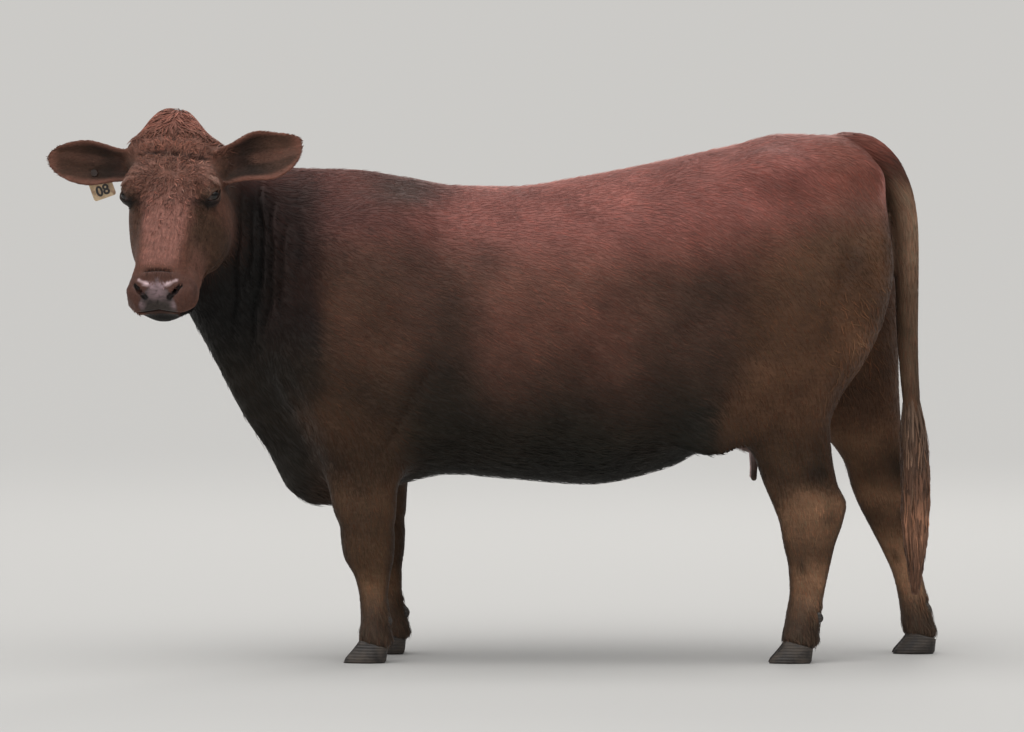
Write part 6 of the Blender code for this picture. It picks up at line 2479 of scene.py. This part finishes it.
@dataclass
class Eyes:
    """Her eyes: dark balls with a long pupil, a brown iris and a film of wet."""

    radius: float = 0.0212
    rows: int = 40
    sides: int = 56
    iris: float = 0.62  # how far it reaches, as a share of the radius
    pupil: tuple[float, float] = (0.4, 0.16)
    white: Vec = (0.04, 0.022, 0.018)
    brown: Vec = (0.01, 0.005, 0.003)
    black: Vec = (0.002, 0.002, 0.002)

    def build(self) -> None:
        """Make both eyes."""
        material = EyeFinish().make()
        for side, name in ((1, "left"), (-1, "right")):
            add_piece(f"eyeball_{name}", self.ball(side), material, "eye", f"eye_{name}")

    def ball(self, side: int) -> Mesh:
        """A sphere on a grid of latitude and longitude, its pole where the eye looks.

        Within the iris the ball bulges by 4 percent times 1 - (r / iris)^2.

        Args:
            side: 1 for her left eye, -1 for her right.

        Returns:
            The mesh.
        """
        mirror = np.array([1.0, side, 1.0])
        look = unit(np.asarray(HEAD.eye_axis)) * mirror
        corner = np.asarray(HEAD.eye_slant) * mirror
        corner = unit(corner - look * (corner @ look))
        up = np.cross(look, corner)
        latitude = np.linspace(0, math.pi, self.rows)[:, None]
        longitude = np.linspace(0, 2 * math.pi, self.sides, endpoint=False)[None]
        x = (np.sin(latitude) * np.cos(longitude)).ravel()
        y = (np.sin(latitude) * np.sin(longitude)).ravel()
        z = (np.cos(latitude) + 0 * longitude).ravel()
        spot = np.hypot(x, y)
        bulge = 1 + 0.04 * np.clip(1 - (spot / self.iris) ** 2, 0, 1) * (z > 0)
        local = np.stack([x, y, z], 1) * (bulge * self.radius)[:, None]
        in_head = local @ np.stack([corner, up, look]) + np.asarray(HEAD.eye) * mirror
        points = np.asarray(HEAD.centre) + in_head @ AXES + SHIFT
        faces = grid_faces(self.rows, self.sides)
        mesh = new_mesh("eyeball", points, faces)
        white, brown, black = np.array([self.white, self.brown, self.black])
        ring = ease(self.iris - 0.05, self.iris + 0.04, spot)[:, None]
        slot = np.hypot(x / self.pupil[0], y / self.pupil[1])
        dark = 1 - ease(0.85, 1.1, slot)[:, None] * (z > 0)[:, None]
        colours = brown * (1 - ring) + white * ring
        colours = colours * (1 - dark) + black * dark
        paint(mesh, TONE, np.where((z > 0)[:, None], colours, white))
        close_mesh(mesh)
        return mesh


def grid_faces(rows: int, sides: int) -> Array:
    """Quads of a grid that closes on itself across its rows."""
    i = np.arange(rows - 1)[:, None] * sides
    j = np.arange(sides)[None]
    k = (j + 1) % sides
    return np.stack([i + j, i + sides + j, i + sides + k, i + k], -1).reshape(-1, 4)


def close_mesh(mesh: Mesh) -> None:
    """Weld the points of each pole and turn every face outward.

    Args:
        mesh: the mesh.
    """
    bm = bmesh.new()
    bm.from_mesh(mesh)
    bmesh.ops.remove_doubles(bm, verts=bm.verts, dist=1e-6)
    bmesh.ops.recalc_face_normals(bm, faces=bm.faces)
    bm.to_mesh(mesh)
    bm.free()
    mesh.shade_smooth()


@dataclass
class Hooves:
    """The claws and dewclaws of one foot."""

    foot: str
    middle: float
    dewclaw: tuple[float, float]  # rear x and height
    width: float = 0.0485
    splay: float = 0.0262
    rake: tuple[float, float] = (0.046, 0.004)
    levels: int = 16
    sides: int = 44
    egg: Vec = (0.0116, 0.0088, 0.0162)  # half sizes of a dewclaw
    egg_lean: float = math.radians(24)
    egg_apart: float = 0.022

    def claw(self, half: int) -> tuple[Array, Array]:
        """One claw: a D-shaped ring carried from the sole to the coronet.

        A ring's x runs as -cos, its y as sin, flattened toward the other claw; it leans back
        evenly as it rises. The sole is a ring that shrinks to a point, hollowed by 2 mm.

        Args:
            half: 1 for the claw on her right side of the foot, -1 for the other.

        Returns:
            Points and quads.
        """
        plan = LEGS[self.foot]
        turn = np.linspace(0, 2 * math.pi, self.sides, endpoint=False)[None]
        lift = np.linspace(0, 1, self.levels)[:, None]
        share_of_width = np.interp(lift, (0.0, 0.12, 0.4, 1.0), (0.94, 1.01, 1.02, 0.9))
        front = plan.toe_x + self.rake[0] * lift + 0.004 * np.sin(math.pi * lift)
        front += 0.004 * bell(lift, 0.08)
        rear = plan.toe_x + CLAW_LENGTH + self.rake[1] * lift - 0.004 * bell(lift, 0.08)
        x = front + (rear - front) * (0.5 - 0.5 * np.cos(turn))
        y = self.width * share_of_width / 2 * np.sin(turn) * (1.0 - 0.18 * np.cos(turn))
        y = np.where(y * half < 0, y * 0.72, y)
        share = (x - plan.toe_x) / CLAW_LENGTH
        height = HOOF_HEIGHT + (HEEL_HEIGHT - HOOF_HEIGHT) * share + 0.004
        z = lift * height
        wall = np.stack([x, plan.side * self.middle + half * self.splay + y, z], -1)
        ends = []
        for ring, shrink, hollow in ((wall[0], (0.9, 0.6, 0.0), 0.002), (wall[-1], (0.8, 0.4, 0.0), 0.006)):
            centre = ring.mean(0)
            rows = [centre + (ring - centre) * s + np.array([0, 0, hollow * (1 - s)]) for s in shrink]
            ends.append(np.stack(rows))
        rings = np.concatenate([ends[0][::-1], wall, ends[1]])
        return rings.reshape(-1, 3), grid_faces(len(rings), self.sides)

    def small(self, half: int) -> tuple[Array, Array]:
        """One dewclaw: an egg on a grid, leaning back, blunter below.

        Args:
            half: 1 for the one on her right side of the foot, -1 for the other.

        Returns:
            Points and quads.
        """
        plan = LEGS[self.foot]
        rows, sides = 16, 24
        latitude = np.linspace(0, math.pi, rows)[:, None]
        turn = np.linspace(0, 2 * math.pi, sides, endpoint=False)[None]
        fat = 1 + 0.18 * np.cos(latitude + math.pi)
        local = np.stack([
            self.egg[0] * fat * np.sin(latitude) * np.cos(turn),
            self.egg[1] * fat * np.sin(latitude) * np.sin(turn),
            self.egg[2] * np.cos(latitude) + 0 * turn,
        ], -1).reshape(-1, 3)
        c, s = math.cos(self.egg_lean), math.sin(self.egg_lean)
        axes = np.array([(c, 0.0, s), (0.0, 1.0, 0.0), (-s, 0.0, c)])
        side = plan.side * self.middle + half * self.egg_apart
        centre = np.array([self.dewclaw[0], side, self.dewclaw[1]])
        return centre + local @ axes, grid_faces(rows, sides)

    def build(self, material: Material) -> None:
        """Join the four pieces of horn into one mesh.

        Args:
            material: the horn.
        """
        leg, name = self.foot.split("_")
        points, faces, start = [], [], 0
        for part in (self.claw, self.small):
            for half in (1, -1):
                some, quads = part(half)
                points.append(some)
                faces.append(quads + start)
                start += len(some)
        mesh = new_mesh("hoof", np.concatenate(points) + SHIFT, np.concatenate(faces))
        close_mesh(mesh)
        nodes = [f"{leg}_{c}_{kind}_{name}" for c in ("outer", "inner") for kind in ("claw", "dewclaw")]
        add_piece(f"hoof_{self.foot}", mesh, material, "hoof_horn", *nodes)


HOOVES = (
    Hooves("fore_left", 0.153, (-0.272, 0.108)),
    Hooves("fore_right", 0.153, (-0.232, 0.108)),
    Hooves("hind_left", 0.1655, (0.823, 0.118)),
    Hooves("hind_right", 0.1655, (1.118, 0.116)),
)


@dataclass
class Tag:
    """The ear tag: the frame's plate and stud, with a plain number printed on the plate."""

    number: str = "08"
    height: float = 0.036
    lean: float = math.radians(19.0)
    along_ear: float = 0.116
    below_ear: float = 0.026
    back: float = -0.0335
    thickness: float = 0.002

    def axes(self) -> Matrix:
        """The stud's frame: z out of the ear's opening, y up the tag."""
        root, along, _, facing = ear_frame(EARS[0])
        up = np.array([0.0, 0.0, 1.0])
        up = unit(up - facing * (up @ facing))
        origin = root + along * self.along_ear - up * self.below_ear + SHIFT
        turn = Matrix((np.cross(up, facing).tolist(), up.tolist(), facing.tolist())).transposed()
        lean = Matrix.Rotation(self.lean, 4, "Z")
        return Matrix.Translation(origin.tolist()) @ turn.to_4x4() @ lean

    def build(self) -> None:
        """Dress the plate and the stud, and print the number."""
        plate = PlasticFinish().make()
        stud = PlasticFinish("tag_stud", (0.03, 0.015, 0.01), (0.016, 0.009, 0.006)).make()
        for name, plastic in (("ear_tag", plate), ("ear_tag_stud", stud)):
            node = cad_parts[name]
            node.data.materials.clear()
            node.data.materials.append(plastic)
        text = bpy.data.curves.new("number", "FONT")
        text.body = self.number
        text.size = self.height
        text.align_x = "CENTER"
        text.extrude = 0.00015
        text.offset = 0.0012
        thing = placed("number", text)
        bpy.context.view_layer.update()
        graph = bpy.context.evaluated_depsgraph_get()
        mesh = bpy.data.meshes.new_from_object(thing.evaluated_get(graph))
        bpy.data.objects.remove(thing)
        front = self.back + self.thickness + 0.0002
        mesh.transform(self.axes() @ Matrix.Translation((0.0, -0.061, front)))
        ink = PlasticFinish("tag_ink", (0.035, 0.028, 0.025), (0.016, 0.013, 0.012), 0.6).make()
        add_piece("tag_number", mesh, ink, "tag_plastic")


# ---------------------------------------------------------------- studio


@dataclass(frozen=True)
class Lamp:
    """A soft light: its place, what it shines on, its size (an angle for the sky), power, colour."""

    place: Vec
    aim: Vec
    size: float
    power: float
    colour: Vec


@dataclass
class Studio:
    """Floor, lights and camera."""

    sky: Lamp = Lamp((0.0, 0.0, 6.0), (0.1, 0.22, 5.0), math.radians(95.0), 3.3, (1.0, 0.985, 0.955))
    front: Lamp = Lamp((-4.0, -10.0, 3.2), (-0.3, 0.0, 0.9), 5.0, 120.0, (0.97, 0.985, 1.0))
    rim: Lamp = Lamp((1.5, 7.5, 6.0), (0.1, 0.0, 1.2), 2.0, 110.0, (1.0, 0.97, 0.93))
    camera_place: Vec = (0.046, -18.0, 1.36)
    pitch: float = math.atan2(239.0, 7031.0)
    lens: float = 247.2
    floor_half: float = 300.0
    # the surroundings' light: at the floor's far edge, a little higher, and overhead
    horizon: Vec = (0.6, 0.59, 0.57)
    wall: Vec = (0.13, 0.132, 0.138)
    overhead: Vec = (0.4, 0.41, 0.43)
    horizon_end: float = 0.028  # heights as the sine of the angle above the floor
    wall_height: float = 0.1

    def floor(self) -> None:
        """A wide flat floor under her hooves, a grid of quads."""
        side = np.linspace(-self.floor_half, self.floor_half, 7)
        x, y = np.meshgrid(side, side, indexing="ij")
        points = np.stack([x.ravel(), y.ravel(), np.full(x.size, -0.0006)], 1)
        n = len(side)
        i, j = (v.ravel() for v in np.meshgrid(np.arange(n - 1), np.arange(n - 1), indexing="ij"))
        base = i * n + j
        mesh = new_mesh("floor", points, np.stack([base, base + n, base + n + 1, base + 1], 1))
        mesh.materials.append(FloorFinish().make())
        placed("floor", mesh)

    def light(self, name: str, data: Light, place: Vec, way: Vector) -> None:
        """Hang a light at a place, shining along `way`.

        Args:
            name: its name.
            data: the light.
            place: where it hangs.
            way: which way it shines.
        """
        lamp = placed(name, data)
        lamp.location = place
        lamp.rotation_euler = way.to_track_quat("-Z", "Y").to_euler()

    def lamps(self) -> None:
        """A broad soft light from overhead, a square one in front and one behind."""
        top = self.sky
        data = bpy.data.lights.new("overhead", "SUN")
        data.energy, data.angle, data.color = top.power, top.size, top.colour
        self.light("overhead", data, top.place, Vector(top.aim) - Vector(top.place))
        for name, lamp in (("front", self.front), ("rim", self.rim)):
            data = bpy.data.lights.new(name, "AREA")
            data.shape, data.size, data.energy, data.color = "SQUARE", lamp.size, lamp.power, lamp.colour
            self.light(name, data, lamp.place, Vector(lamp.aim) - Vector(lamp.place))

    def camera(self) -> None:
        """The camera, level with her back and looking down a little."""
        data = bpy.data.cameras.new("camera")
        data.lens, data.sensor_width = self.lens, 36.0
        data.clip_end = 1200.0
        camera = placed("camera", data)
        camera.location = Vector(self.camera_place) + Vector(SHIFT.tolist())
        camera.rotation_euler = (math.pi / 2 - self.pitch, 0.0, 0.0)
        bpy.context.scene.camera = camera

    def world(self) -> None:
        """Surroundings whose light changes with height: even at the horizon, a wall, a ceiling."""
        world = bpy.data.worlds.new("studio")
        world.use_nodes = True
        tree = world.node_tree
        place = tree.nodes.new("ShaderNodeTexCoord")
        split = tree.nodes.new("ShaderNodeSeparateXYZ")
        ramp = tree.nodes.new("ShaderNodeValToRGB")
        stops = ramp.color_ramp.elements
        stops[0].color, stops[1].color = (*self.horizon, 1.0), (*self.overhead, 1.0)
        for at, colour in ((self.horizon_end, self.horizon), (self.wall_height, self.wall)):
            stops.new(at).color = (*colour, 1.0)
        tree.links.new(place.outputs["Generated"], split.inputs["Vector"])
        tree.links.new(split.outputs["Z"], ramp.inputs["Fac"])
        tree.links.new(ramp.outputs["Color"], tree.nodes["Background"].inputs["Color"])
        bpy.context.scene.world = world
        bpy.context.scene.view_settings.view_transform = "Standard"

    def build(self) -> None:
        """Set the studio up."""
        self.floor()
        self.camera()
        self.lamps()
        self.world()


def main() -> None:
    """Build the cow and her studio, and report each piece."""
    Studio().build()
    body = Body()
    markings_and_light = MarkingsAndLight(body)
    skin = Skin(body, markings_and_light)
    skin.build()
    coat = Coat(skin)
    hair = HairFinish().make()
    coat.build(GROWTHS, hair)
    Switch(coat).build(HairFinish("switch", 0.5, 0.08, 0.3).make())
    Eyes().build()
    horn = HornFinish().make()
    for hooves in HOOVES:
        hooves.build(horn)
    Tag().build()


if __name__ == "__main__":
    main()
